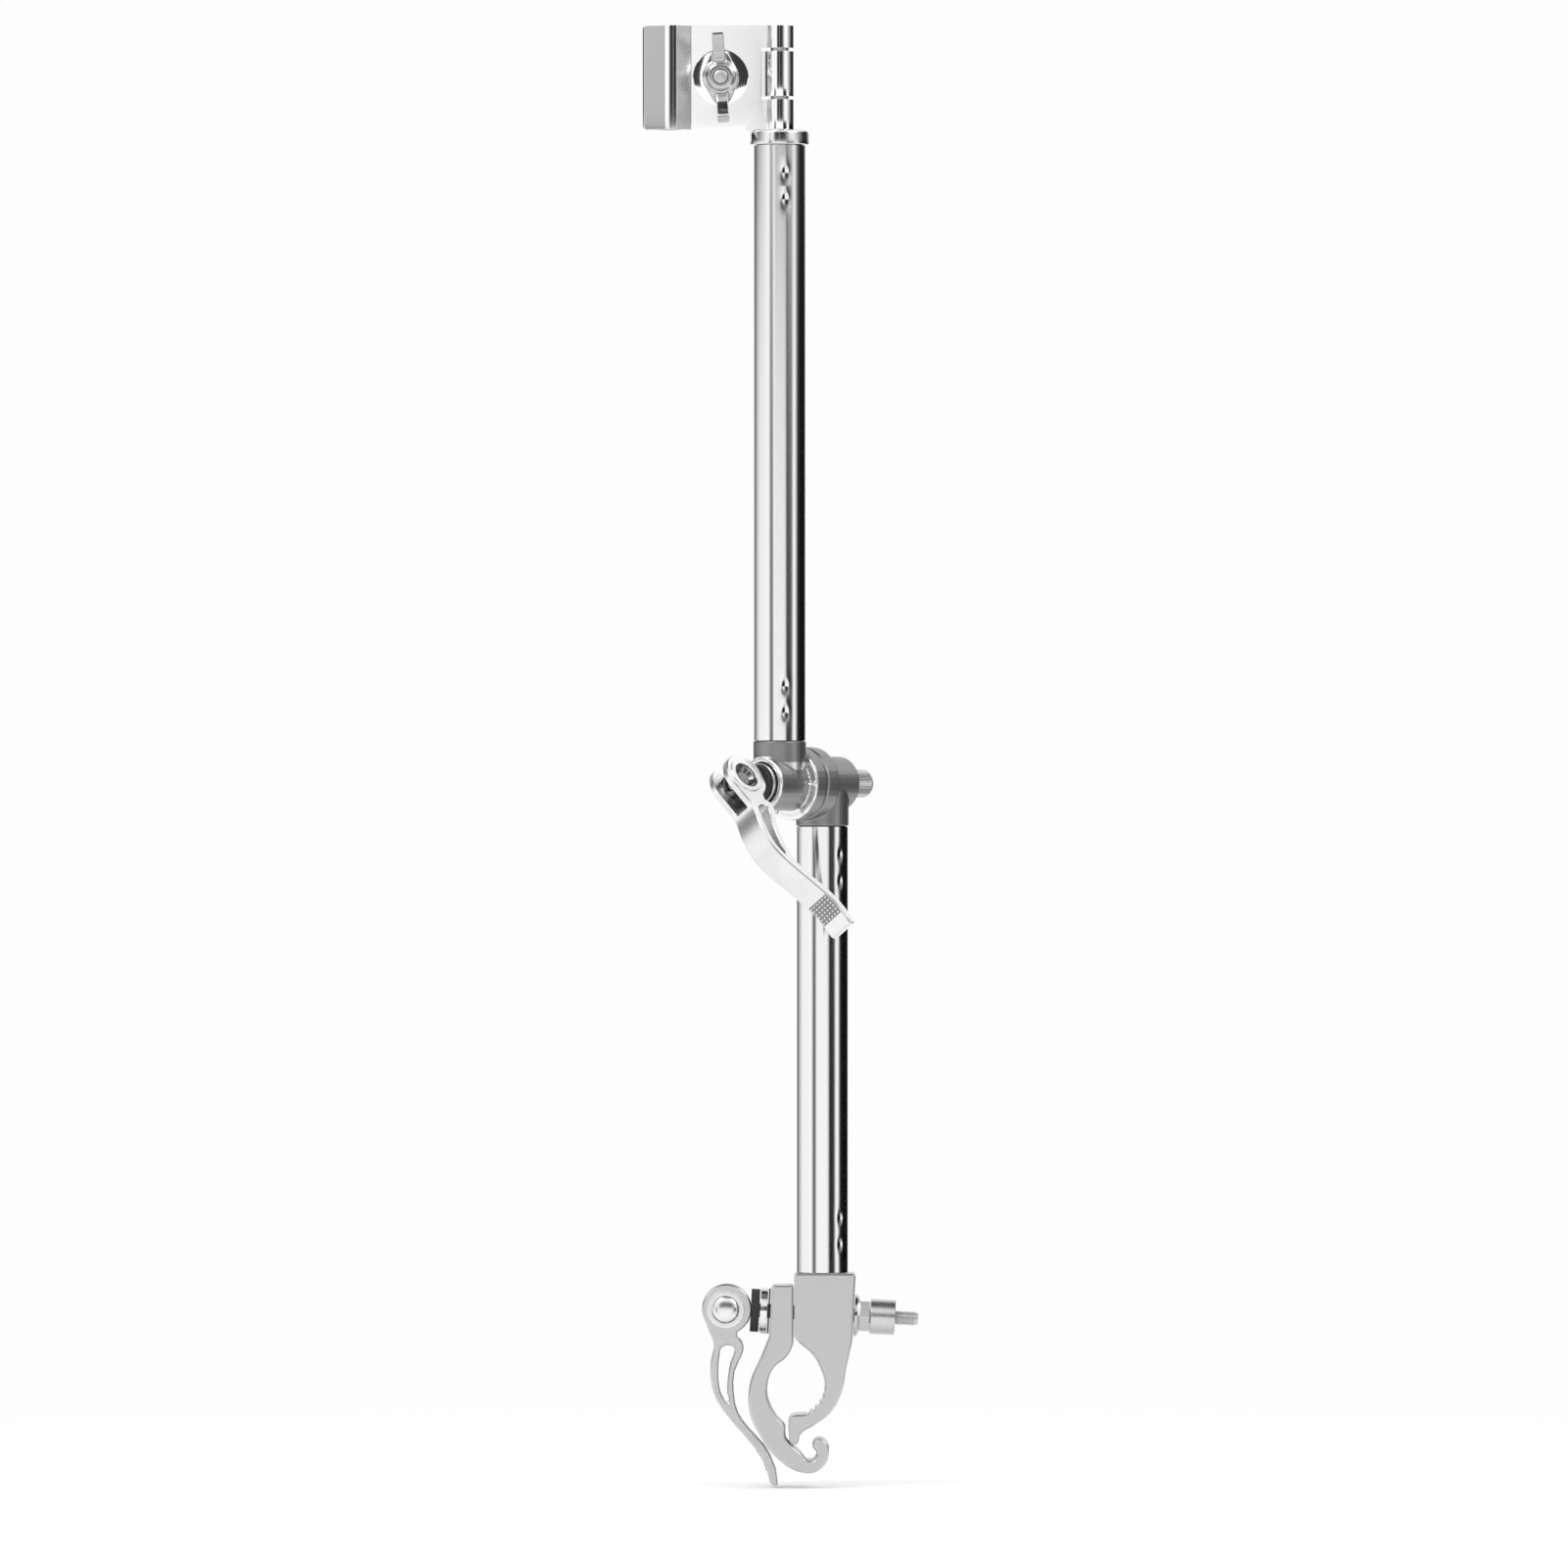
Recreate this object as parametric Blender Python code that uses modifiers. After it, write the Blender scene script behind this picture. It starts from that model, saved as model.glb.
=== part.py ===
"""Umbrella holder: a folding arm that clamps on a handlebar and grips an umbrella shaft.

Two stainless tubes are joined by a toothed joint with a quick-release skewer. A hooked
clamp with a second quick-release holds the handlebar, and two hinged leaves drawn
together by a wing nut hold the umbrella. Metres, +Z up, +X to the right, +Y to the rear.
The origin is the centre of the handlebar bore.
"""

import math

import bmesh
import bpy
from mathutils import Matrix, Vector

# Fits
GAP = 0.0003
BORE_FIT = 0.0004
ROUND_STEPS = 36
SMALL_STEPS = 24
FINE_STEPS = 16

# Tubes
TUBE_R = 0.0110
TUBE_WALL = 0.0010
LOWER_TUBE_X = 0.0111
LOWER_TUBE_LENGTH = 0.1893
UPPER_TUBE_LENGTH = 0.2519
SPIGOT_LENGTH = 0.0300
CRIMP_R = 0.0027
CRIMP_HOLE_R = 0.0012
CRIMP_FROM_END = 0.0119
CRIMP_PITCH = 0.0112
UPPER_CRIMP_TURN = math.radians(12.4)
LOWER_CRIMP_TURN = math.radians(44.7)

# Handlebar clamp
BAR_R = 0.0120
CLAMP_DEPTH = 0.0260
CLAMP_EDGE = 0.0012
CLAMP_TOP_Z = 0.0485
CLAMP_SIDE = 0.0023
SPLIT_X = -0.0010
SPLIT_LOW_Z = 0.0211
JAW_PLATE = 0.0100
JAW_TOP_Z = 0.0435
JAW_WALL = 0.0080
HOOK_R = 0.0090
HOOK_HOLE_R = 0.0035
HOOK_X = 0.0050
HOOK_Z = -0.0273
KNUCKLE_R = 0.0021
KNUCKLE_X = -0.0009
KNUCKLE_Z = -0.0220
CRADLE_TURN = math.radians(-42)
TOOTH_R = 0.0011
TOOTH_ANGLES = (-10, -24, -38, -52, -66)

# Skewers
ROD_R = 0.0030
SKEWER_Z = 0.03155
SKEWER_TILT = math.radians(3)
SLOT_HALF = 0.0018
CAM_SLACK = 0.0005
LEVER_HEAD_R = 0.0106
LEVER_WIDTH = 0.0126
LEVER_PAST_HOOK = 0.00705
LEVER_BOW = 0.0222
LEVER_EDGE = 0.0005
FORK_GAP = 0.0068
FORK_ROOT = 0.0145
TRUNNION_R = 0.0055
TRUNNION_DOME = 0.0018
TRUNNION_SOCKET = 0.0024
ROD_IN_TRUNNION = 0.0030
FLANGE_R = 0.0090
FLANGE_T = 0.0025
HEX_R = 0.0072
HEX_T = 0.0040
BARREL_NUT_R = 0.0075
BARREL_NUT_T = 0.0106
CLAMP_ROD_OUT = 0.0097

# Washer stack of each skewer: outer radius and thickness
CLAMP_SEAL = (0.0096, 0.0007)
CLAMP_WASHER = (0.0100, 0.0031)
CLAMP_FOLLOWER = (0.00915, 0.0037)
CLAMP_SADDLE = 0.0007
JOINT_SEAL = (0.00875, 0.0009)
JOINT_WASHER = (0.0086, 0.0017)
JOINT_FOLLOWER = (0.0081, 0.0038)
JOINT_SADDLE = 0.0020

# Toothed joint between the tubes
ARM_OFFSET = 0.0271
JOINT_TURN = math.radians(42)
LEVER_SWIVEL = math.radians(34)
NECK_R = 0.0112
NECK_LENGTH = 0.0180
BARREL_R = 0.0115
BARREL_END = 0.0115
BARREL_EDGE = 0.0006
DISC_R = 0.0156
DISC_T = 0.0070
DISC_EDGE = 0.0006
CONE_LENGTH = 0.0034
RIB_COUNT = 6
RIB_T = 0.0012
RIB_LENGTH = 0.0037
RIB_HEIGHT = 0.0033
FACE_TEETH = 20
FACE_TOOTH_R = 0.0008
FACE_TEETH_IN = 0.0080
FACE_TEETH_OUT = 0.0138
SEAT_DEPTH = 0.0012
SPRING_R = 0.0044
SPRING_WIRE = 0.0005
SPRING_TURNS = 3
SPRING_POCKET = 0.0034
JOINT_NUT_R = 0.0060
JOINT_NUT_T = 0.0148
JOINT_NUT_WALL = 0.0030
JOINT_ROD_IN_NUT = 0.0100

# Umbrella clamp
CAP_R = 0.0125
CAP_T = 0.0062
CAP_CHAMFER = 0.0014
CAP_PLUG = 0.0140
PIN_R = 0.0038
PIN_IN_CAP = 0.0060
HINGE_R = 0.0061
HINGE_HEIGHT = 0.0440
LOW_KNUCKLE = 0.0127
TOP_KNUCKLE = 0.0095
KNUCKLE_GAP = 0.0013
HINGE_NOTCH = 0.0017
LEAF_T = 0.0020
LEAF_SPACE = 0.0010
LEAF_LENGTH = 0.0580
LEAF_CORNER = 0.0015
GROOVE_FROM_HINGE = 0.0451
GROOVE_FAR = 0.0120
GROOVE_DEPTH = 0.0042
GROOVE_ROUND = 0.0032
TAB_WIDTH = 0.0060
TAB_DEPTH = 0.0050
BOLT_R = 0.0030
BOLT_FROM_HINGE = 0.0250
BOLT_HEAD_R = 0.0058
BOLT_HEAD_T = 0.0040
BOLT_SLOT = 0.0012
WING_WASHER_R = 0.0118
WING_WASHER_T = 0.0012
WING_HUB_R = 0.0077
WING_BOSS_R = 0.0056
WING_HUB_T = 0.0042
WING_BOSS_T = 0.0078
WING_FOOT = 0.0120
WING_SPAN = 0.0373
WING_WIDTH = 0.0050
WING_RISE = 0.0105
WING_TURN = math.radians(4)
BOLT_OUT = 0.0008

# Directions and places that follow from the sizes above
UP = Vector((0, 0, 1))
SKEWER_OUT = Vector((-math.cos(SKEWER_TILT), 0, math.sin(SKEWER_TILT)))
JOINT_OUT = Vector((-math.sin(JOINT_TURN), -math.cos(JOINT_TURN), 0))
LOWER_TUBE_LOW = CLAMP_TOP_Z + GAP
LOWER_TUBE_TOP = LOWER_TUBE_LOW + LOWER_TUBE_LENGTH
JOINT_Z = LOWER_TUBE_TOP + GAP + NECK_LENGTH
BASE_CENTRE = Vector((LOWER_TUBE_X, 0, JOINT_Z))
HEAD_CENTRE = BASE_CENTRE + JOINT_OUT * ARM_OFFSET
UPPER_TUBE_LOW = JOINT_Z + NECK_LENGTH + GAP
UPPER_TUBE_TOP = UPPER_TUBE_LOW + UPPER_TUBE_LENGTH
CAP_TOP = UPPER_TUBE_TOP + GAP + CAP_T
LEAF_LOW = CAP_TOP + GAP
SPIGOT_R = TUBE_R - TUBE_WALL - GAP
JAW_FACE = JAW_PLATE - SPLIT_X
BODY_FACE = LOWER_TUBE_X + TUBE_R + CLAMP_SIDE
TEETH_FACE = (ARM_OFFSET - GAP) / 2
LEVER_REACH = SKEWER_Z - HOOK_Z + HOOK_R + LEVER_PAST_HOOK


# Scene and materials

def clear_scene():
    """Remove every object, so that the part is built into an empty scene."""
    for item in list(bpy.data.objects):
        bpy.data.objects.remove(item, do_unlink=True)


def new_collection(name):
    """Make a collection under the scene."""
    collection = bpy.data.collections.new(name)
    bpy.context.scene.collection.children.link(collection)
    return collection


def metal(name, grey, roughness, metallic=1.0):
    """Make a Principled material of one grey tone."""
    material = bpy.data.materials.new(name)
    material.use_nodes = True
    shader = material.node_tree.nodes["Principled BSDF"]
    shader.inputs["Base Color"].default_value = (grey, grey, grey, 1.0)
    shader.inputs["Roughness"].default_value = roughness
    shader.inputs["Metallic"].default_value = metallic
    return material


clear_scene()
PARTS = new_collection("umbrella_holder")
CUTTERS = new_collection("cutters")

STAINLESS = metal("polished_stainless", 0.80, 0.12)
CAST_LIGHT = metal("satin_alloy", 0.62, 0.38)
CAST_GREY = metal("grey_casting", 0.30, 0.45)
STEEL = metal("zinc_steel", 0.60, 0.28)
NYLON = metal("black_nylon", 0.02, 0.45, 0.0)
RUBBER = metal("black_rubber", 0.015, 0.75, 0.0)


# Places and directions

def frame_at(origin, z_axis, x_hint):
    """Matrix of a local frame: its Z runs along z_axis, its X lies towards x_hint."""
    z_axis = Vector(z_axis).normalized()
    y_axis = z_axis.cross(Vector(x_hint)).normalized()
    x_axis = y_axis.cross(z_axis)
    matrix = Matrix((x_axis, y_axis, z_axis)).transposed().to_4x4()
    matrix.translation = origin
    return matrix


def side_plane(origin=(0, 0, 0)):
    """Frame for outlines drawn as seen from the front: local X is +X, local Y is +Z."""
    return frame_at(origin, (0, -1, 0), (1, 0, 0))


def polar(radius, degrees, centre=(0, 0)):
    """Point of a plane at a radius and an angle from a centre."""
    angle = math.radians(degrees)
    return (centre[0] + radius * math.cos(angle), centre[1] + radius * math.sin(angle))


def corner(x, y):
    """Outline point with a sharp corner."""
    return (x, y, "VECTOR")


def smooth(x, y):
    """Outline point that the curve passes through without a corner."""
    return (x, y, "AUTO")


def skewer_point(along, rise):
    """Point (x, z) by its distance along the clamp's skewer and across it."""
    place = UP * SKEWER_Z + SKEWER_OUT * along + SKEWER_ACROSS * rise
    return (place.x, place.z)


SKEWER_ACROSS = Vector((math.sin(SKEWER_TILT), 0, math.cos(SKEWER_TILT)))
LEVER_HANG = -UP * math.cos(LEVER_SWIVEL) + UP.cross(JOINT_OUT) * math.sin(LEVER_SWIVEL)
CLAMP_AXIS = frame_at(UP * SKEWER_Z, SKEWER_OUT, SKEWER_ACROSS)
BASE_AXIS = frame_at(BASE_CENTRE, JOINT_OUT, UP)
HEAD_AXIS = frame_at(HEAD_CENTRE, JOINT_OUT, UP)
HEAD_LEVER_AXIS = frame_at(HEAD_CENTRE, JOINT_OUT, -LEVER_HANG)
LOWER_AXIS = Matrix.Translation((LOWER_TUBE_X, 0, 0))
UPPER_AXIS = Matrix.Translation((HEAD_CENTRE.x, HEAD_CENTRE.y, 0))
HINGE_AXIS = Matrix.Translation((HEAD_CENTRE.x, HEAD_CENTRE.y, LEAF_LOW))


# Shapes

def link(name, mesh, frame=None):
    """Put a mesh into the part's collection as an object."""
    item = bpy.data.objects.new(name, mesh)
    PARTS.objects.link(item)
    if frame is not None:
        item.matrix_world = frame
    return item


def close_mesh(mesh):
    """Weld loose caps, drop needless edges and turn the faces outwards."""
    shape = bmesh.new()
    shape.from_mesh(mesh)
    bmesh.ops.remove_doubles(shape, verts=shape.verts, dist=1e-6)
    bmesh.ops.dissolve_limit(shape, angle_limit=0.001, verts=shape.verts, edges=shape.edges)
    bmesh.ops.recalc_face_normals(shape, faces=shape.faces)
    shape.to_mesh(mesh)
    shape.free()


def slab(name, outline, thickness, frame, holes=(), steps=4, edge=0.0):
    """Flat outline with a thickness, centred on its frame's XY plane."""
    curve = bpy.data.curves.new(name, "CURVE")
    curve.dimensions = "2D"
    curve.fill_mode = "BOTH"
    curve.extrude = thickness / 2
    curve.resolution_u = steps
    curve.render_resolution_u = steps
    for loop in (outline, *holes):
        spline = curve.splines.new("BEZIER")
        spline.bezier_points.add(len(loop) - 1)
        for knot, (x, y, handle) in zip(spline.bezier_points, loop):
            knot.co = (x, y, 0)
            knot.handle_left_type = handle
            knot.handle_right_type = handle
        spline.use_cyclic_u = True
    drawn = link(name + "_outline", curve)
    bpy.context.view_layer.update()
    depsgraph = bpy.context.evaluated_depsgraph_get()
    mesh = bpy.data.meshes.new_from_object(drawn.evaluated_get(depsgraph), depsgraph=depsgraph)
    bpy.data.objects.remove(drawn)
    close_mesh(mesh)
    item = link(name, mesh, frame)
    if edge:
        round_edges(item, edge)
    return item


def round_edges(item, width, segments=1):
    """Chamfer or round the sharp edges of a piece."""
    bevel = item.modifiers.new("Edges", "BEVEL")
    bevel.width = width
    bevel.segments = segments
    bevel.limit_method = "ANGLE"
    bevel.angle_limit = math.radians(40)


def turned(name, profile, frame, steps=ROUND_STEPS, ring=False):
    """Piece turned about its frame's Z from (radius, height) points, outer side top to bottom."""
    shape = bmesh.new()
    knots = [shape.verts.new((radius, 0, height)) for radius, height in profile]
    for first, second in zip(knots, knots[1:]):
        shape.edges.new((first, second))
    if ring:
        shape.edges.new((knots[-1], knots[0]))
    mesh = bpy.data.meshes.new(name)
    shape.to_mesh(mesh)
    shape.free()
    item = link(name, mesh, frame)
    screw = item.modifiers.new("Turn", "SCREW")
    screw.steps = steps
    screw.render_steps = steps
    screw.use_merge_vertices = True
    screw.merge_threshold = 0.00001
    return item


def cylinder(name, radius, low, high, frame, steps=SMALL_STEPS):
    """Plain cylinder along its frame's Z."""
    shape = bmesh.new()
    bmesh.ops.create_cone(
        shape, cap_ends=True, segments=steps, radius1=radius, radius2=radius, depth=high - low)
    bmesh.ops.translate(shape, vec=(0, 0, (low + high) / 2), verts=shape.verts)
    mesh = bpy.data.meshes.new(name)
    shape.to_mesh(mesh)
    shape.free()
    return link(name, mesh, frame)


def box(name, low, high, frame):
    """Box between two corners of its frame."""
    low = Vector(low)
    high = Vector(high)
    size = high - low
    shape = bmesh.new()
    bmesh.ops.create_cube(shape, size=1.0)
    bmesh.ops.scale(shape, vec=size, verts=shape.verts)
    bmesh.ops.translate(shape, vec=(low + high) / 2, verts=shape.verts)
    mesh = bpy.data.meshes.new(name)
    shape.to_mesh(mesh)
    shape.free()
    return link(name, mesh, frame)


def ring(name, inner, outer, low, high, frame, edge=0.0002, steps=SMALL_STEPS):
    """Washer or sleeve, chamfered on its outer edges unless edge is 0."""
    profile = [(inner, high), (outer, high), (outer, low), (inner, low)]
    if edge:
        profile[1:3] = [
            (outer - edge, high),
            (outer, high - edge),
            (outer, low + edge),
            (outer - edge, low),
        ]
    return turned(name, profile, frame, steps, ring=True)


# Joining, cutting and finishing

def combine(item, tool, operation):
    """Use another shape on a piece with a Boolean, and put that shape among the cutters."""
    step = item.modifiers.new(tool.name, "BOOLEAN")
    step.operation = operation
    step.object = tool
    if tool.name in PARTS.objects:
        PARTS.objects.unlink(tool)
        CUTTERS.objects.link(tool)
        tool.hide_render = True
        tool.display_type = "WIRE"


def join(item, *tools):
    """Fuse shapes with a piece."""
    for tool in tools:
        combine(item, tool, "UNION")
    return item


def cut(item, *tools):
    """Cut shapes out of a piece."""
    for tool in tools:
        combine(item, tool, "DIFFERENCE")
    return item


def finish(item, material, origin=None):
    """Give a piece its material and soft shading, and move its origin to its joint's axis."""
    bpy.context.view_layer.update()
    depsgraph = bpy.context.evaluated_depsgraph_get()
    mesh = bpy.data.meshes.new_from_object(item.evaluated_get(depsgraph), depsgraph=depsgraph)
    item.modifiers.clear()
    item.data = mesh
    mesh.name = item.name
    mesh.materials.clear()
    mesh.materials.append(material)
    if origin is not None:
        shift = item.matrix_world.inverted() @ Vector(origin)
        mesh.transform(Matrix.Translation(-shift))
        item.matrix_world = item.matrix_world @ Matrix.Translation(shift)
    mesh.shade_smooth()
    mesh.set_sharp_from_angle(angle=math.radians(32))
    return item


# Handlebar clamp

def arc(radius, start, end, centre=(0, 0), count=6):
    """Straight-sided points of an arc from one angle to another, in degrees."""
    turns = (start + (end - start) * index / count for index in range(count + 1))
    return [corner(*polar(radius, turn, centre)) for turn in turns]


def cradle(along):
    """Point of the jaw's seat under the body's knuckle, by its distance along the seat."""
    run = Vector((math.cos(CRADLE_TURN), math.sin(CRADLE_TURN)))
    out = Vector((run.y, -run.x))
    return Vector((KNUCKLE_X, KNUCKLE_Z)) + out * (KNUCKLE_R + GAP) + run * along


def clamp_body():
    """Fixed half of the clamp: it carries the lower tube and has the toothed side of the bore."""
    left = SPLIT_X + GAP / 2
    knuckle = (KNUCKLE_X, KNUCKLE_Z)
    face_top_x = skewer_point(-BODY_FACE, CLAMP_TOP_Z - SKEWER_Z)[0]
    outline = [
        corner(left, CLAMP_TOP_Z),
        corner(left, SPLIT_LOW_Z),
        smooth(*polar(BAR_R * 1.57, 85)),
        smooth(*polar(BAR_R * 1.32, 64)),
        smooth(*polar(BAR_R * 1.10, 39)),
        smooth(*polar(BAR_R * 1.02, 8)),
        smooth(*polar(BAR_R * 0.98, -20)),
        smooth(*polar(BAR_R * 0.97, -47)),
        smooth(*polar(BAR_R * 0.97, -74)),
        smooth(*polar(BAR_R * 0.95, -90)),
        smooth(*polar(BAR_R * 1.08, -102)),
        smooth(*polar(BAR_R * 1.34, -102)),
        *arc(KNUCKLE_R, -180, -10, knuckle),
        smooth(KNUCKLE_X + KNUCKLE_R * 1.2, KNUCKLE_Z + KNUCKLE_R),
        smooth(*polar(BAR_R + JAW_WALL * 0.70, -66)),
        smooth(*polar(BAR_R + JAW_WALL * 0.74, -38)),
        smooth(*polar(BAR_R + JAW_WALL * 0.90, -8)),
        smooth(*polar(BAR_R + JAW_WALL * 1.39, 22.4)),
        corner(*skewer_point(-BODY_FACE, -FLANGE_R * 1.15)),
        corner(face_top_x, CLAMP_TOP_Z),
    ]
    body = slab("clamp_body", outline, CLAMP_DEPTH, side_plane(), edge=CLAMP_EDGE)
    tube_low = CLAMP_TOP_Z - CLAMP_EDGE
    spigot = cylinder(
        "clamp_spigot", SPIGOT_R, tube_low, CLAMP_TOP_Z + SPIGOT_LENGTH, LOWER_AXIS, ROUND_STEPS)
    join(body, spigot)
    for angle in TOOTH_ANGLES:
        x, z = polar(BAR_R * 0.98, angle)
        outward = (x, 0, z)
        groove = frame_at((x, 0, z), (0, -1, 0), outward)
        cut(body, cylinder("clamp_tooth", TOOTH_R, -CLAMP_DEPTH, CLAMP_DEPTH, groove, 4))
    bore = ROD_R + BORE_FIT
    cut(body, cylinder("clamp_bore", bore, -BODY_FACE * 1.2, CLAMP_DEPTH, CLAMP_AXIS, FINE_STEPS))
    return finish(body, CAST_LIGHT)


def clamp_jaw():
    """Hooked half of the clamp: it rocks on the body's knuckle and closes round the bar."""
    right = SPLIT_X - GAP / 2
    hook = (HOOK_X, HOOK_Z)
    face_top_x = skewer_point(JAW_FACE, JAW_TOP_Z - SKEWER_Z)[0]
    outline = [
        corner(right, JAW_TOP_Z),
        corner(face_top_x, JAW_TOP_Z),
        corner(*skewer_point(JAW_FACE, -CLAMP_WASHER[0] * 1.1)),
        smooth(*polar(BAR_R + JAW_WALL * 0.93, 141.5)),
        smooth(*polar(BAR_R + JAW_WALL * 0.96, 175)),
        smooth(*polar(BAR_R + JAW_WALL * 1.30, 207.7)),
        smooth(*polar(BAR_R + JAW_WALL * 1.68, 232)),
        smooth(*polar(BAR_R + JAW_WALL * 2.29, 251.9)),
        smooth(*polar(HOOK_R, 262, hook)),
        smooth(*polar(HOOK_R, 312, hook)),
        smooth(*polar(HOOK_R, 5, hook)),
        smooth(*polar(HOOK_R * 0.98, 31, hook)),
        smooth(*polar(HOOK_R * 0.80, 53, hook)),
        smooth(*polar(HOOK_HOLE_R, 59, hook)),
        smooth(*polar(HOOK_HOLE_R * 1.05, -5, hook)),
        smooth(*polar(HOOK_HOLE_R * 1.10, -50, hook)),
        smooth(*polar(HOOK_HOLE_R * 0.95, -100, hook)),
        smooth(*cradle(KNUCKLE_R * 3.1)),
        corner(*cradle(-KNUCKLE_R * 1.2)),
        smooth(KNUCKLE_X - KNUCKLE_R * 1.81, KNUCKLE_Z + KNUCKLE_R * 1.62),
        smooth(*polar(BAR_R * 1.42, 254)),
        smooth(*polar(BAR_R * 1.24, 237)),
        smooth(*polar(BAR_R * 1.075, 203)),
        smooth(*polar(BAR_R * 1.025, 176)),
        smooth(*polar(BAR_R * 1.07, 140)),
        smooth(*polar(BAR_R * 1.16, 107)),
        smooth(*polar(BAR_R * 1.57, 94)),
        corner(right, SPLIT_LOW_Z),
    ]
    jaw = slab("clamp_jaw", outline, CLAMP_DEPTH - CLAMP_EDGE, side_plane(), edge=CLAMP_EDGE)
    radius = ROD_R + BORE_FIT
    slot_outline = [
        *arc(radius, -90, 90, (SLOT_HALF, 0)),
        *arc(radius, 90, 270, (-SLOT_HALF, 0)),
    ]
    cut(jaw, slab("jaw_slot", slot_outline, JAW_FACE * 3, CLAMP_AXIS))
    return finish(jaw, CAST_LIGHT, (KNUCKLE_X, 0, KNUCKLE_Z))


# Quick-release skewers, of which the clamp and the joint have one each

def washer_stack(prefix, frame, start, rings, saddle):
    """Seal, washer and cam follower from the start along the skewer; returns the cam's pivot."""
    low = start
    bore = ROD_R + BORE_FIT
    kinds = (("seal", RUBBER), ("washer", STEEL), ("follower", NYLON))
    for (kind, material), (radius, thickness) in zip(kinds, rings):
        low += GAP
        edge = 0 if kind == "seal" else thickness * 0.12
        piece = ring(prefix + "_" + kind, bore, radius, low, low + thickness, frame, edge)
        low += thickness
        if kind == "follower":
            pivot = low - saddle + GAP + LEVER_HEAD_R + CAM_SLACK
            across = frame @ frame_at((0, 0, pivot - CAM_SLACK), (0, 1, 0), (1, 0, 0))
            seat = LEVER_HEAD_R + GAP
            reach = radius * 2
            cut(piece, cylinder(prefix + "_saddle", seat, -reach, reach, across, ROUND_STEPS))
        finish(piece, material)
    return pivot


def trunnion(prefix, skewer, pivot, lever_frame, socket=False):
    """Round cross pin that the lever turns on; its ends are domed, or one has a socket."""
    end = LEVER_WIDTH / 2
    dome = [(TRUNNION_R * math.cos(turn), end + TRUNNION_DOME * math.sin(turn))
            for turn in (math.pi / 2 * (1 - index / 3) for index in range(4))]
    profile = [(max(radius, 0), height) for radius, height in dome]
    profile[0] = (0, profile[0][1])
    profile += [(radius, -height) for radius, height in reversed(profile)]
    if socket:
        profile[:len(dome)] = [
            (0, end - TRUNNION_SOCKET),
            (TRUNNION_R * 0.60, end - TRUNNION_SOCKET),
            (TRUNNION_R * 0.90, end),
            (TRUNNION_R, end),
        ]
    pin = turned(prefix + "_trunnion", profile, lever_frame, SMALL_STEPS)
    low = pivot - TRUNNION_R * 1.5
    high = pivot + ROD_IN_TRUNNION + GAP
    cut(pin, cylinder(prefix + "_rod_hole", ROD_R + GAP, low, high, skewer, FINE_STEPS))
    return finish(pin, STAINLESS)


def lever(prefix, lever_frame):
    """Forked cam lever; local X points at the clamped parts and local Y away from the handle."""
    def point(x, y):
        return smooth(x * LEVER_BOW, y * LEVER_REACH)

    blade_outline = [
        corner(-LEVER_HEAD_R * 0.80, -LEVER_HEAD_R * 0.50),
        point(-0.315, -0.130),
        point(-0.243, -0.179),
        point(-0.234, -0.231),
        point(-0.284, -0.300),
        point(-0.288, -0.390),
        point(-0.230, -0.475),
        point(-0.054, -0.571),
        point(0.234, -0.674),
        point(0.541, -0.781),
        point(0.734, -0.861),
        point(0.829, -0.964),
        corner(LEVER_BOW * 0.880, -LEVER_REACH * 0.998),
        corner(LEVER_BOW, -LEVER_REACH),
        point(0.960, -0.901),
        point(0.734, -0.770),
        point(0.428, -0.669),
        point(0.234, -0.583),
        point(0.158, -0.475),
        point(0.176, -0.351),
        point(0.311, -0.259),
        point(0.347, -0.220),
        point(0.300, -0.178),
        corner(LEVER_BOW * 0.216, -LEVER_REACH * 0.160),
        corner(LEVER_HEAD_R * 0.50, -LEVER_HEAD_R * 0.80),
    ]
    window = [
        point(-0.070, -0.215),
        point(0.130, -0.209),
        point(0.176, -0.231),
        point(0.099, -0.299),
        point(0.045, -0.390),
        point(0.034, -0.475),
        point(0.054, -0.531),
        point(-0.054, -0.498),
        point(-0.120, -0.440),
        point(-0.138, -0.350),
        point(-0.110, -0.255),
    ]
    name = prefix + "_lever"
    handle = slab(
        name, blade_outline, LEVER_WIDTH, lever_frame, (window,), steps=2, edge=LEVER_EDGE)
    half = LEVER_WIDTH / 2
    head_centre = lever_frame @ Matrix.Translation((CAM_SLACK, 0, 0))
    head = cylinder(name + "_head", LEVER_HEAD_R, -half, half, head_centre, SMALL_STEPS)
    round_edges(head, LEVER_EDGE)
    join(handle, head)
    reach = LEVER_HEAD_R * 1.5
    fork = box(
        name + "_fork", (-reach, -FORK_ROOT, -FORK_GAP / 2), (reach, reach, FORK_GAP / 2),
        lever_frame)
    eye = cylinder(
        name + "_eye", TRUNNION_R + GAP, -LEVER_WIDTH, LEVER_WIDTH, lever_frame, SMALL_STEPS)
    cut(handle, fork, eye)
    return finish(handle, CAST_LIGHT)


def rod(prefix, frame, low, high):
    """Threaded rod of a skewer, plain here, with chamfered ends."""
    tip = ROD_R * 0.2
    profile = [
        (0, high),
        (ROD_R - tip, high),
        (ROD_R, high - tip),
        (ROD_R, low + tip),
        (ROD_R - tip, low),
        (0, low),
    ]
    return finish(turned(prefix + "_rod", profile, frame, FINE_STEPS), STEEL)


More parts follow.
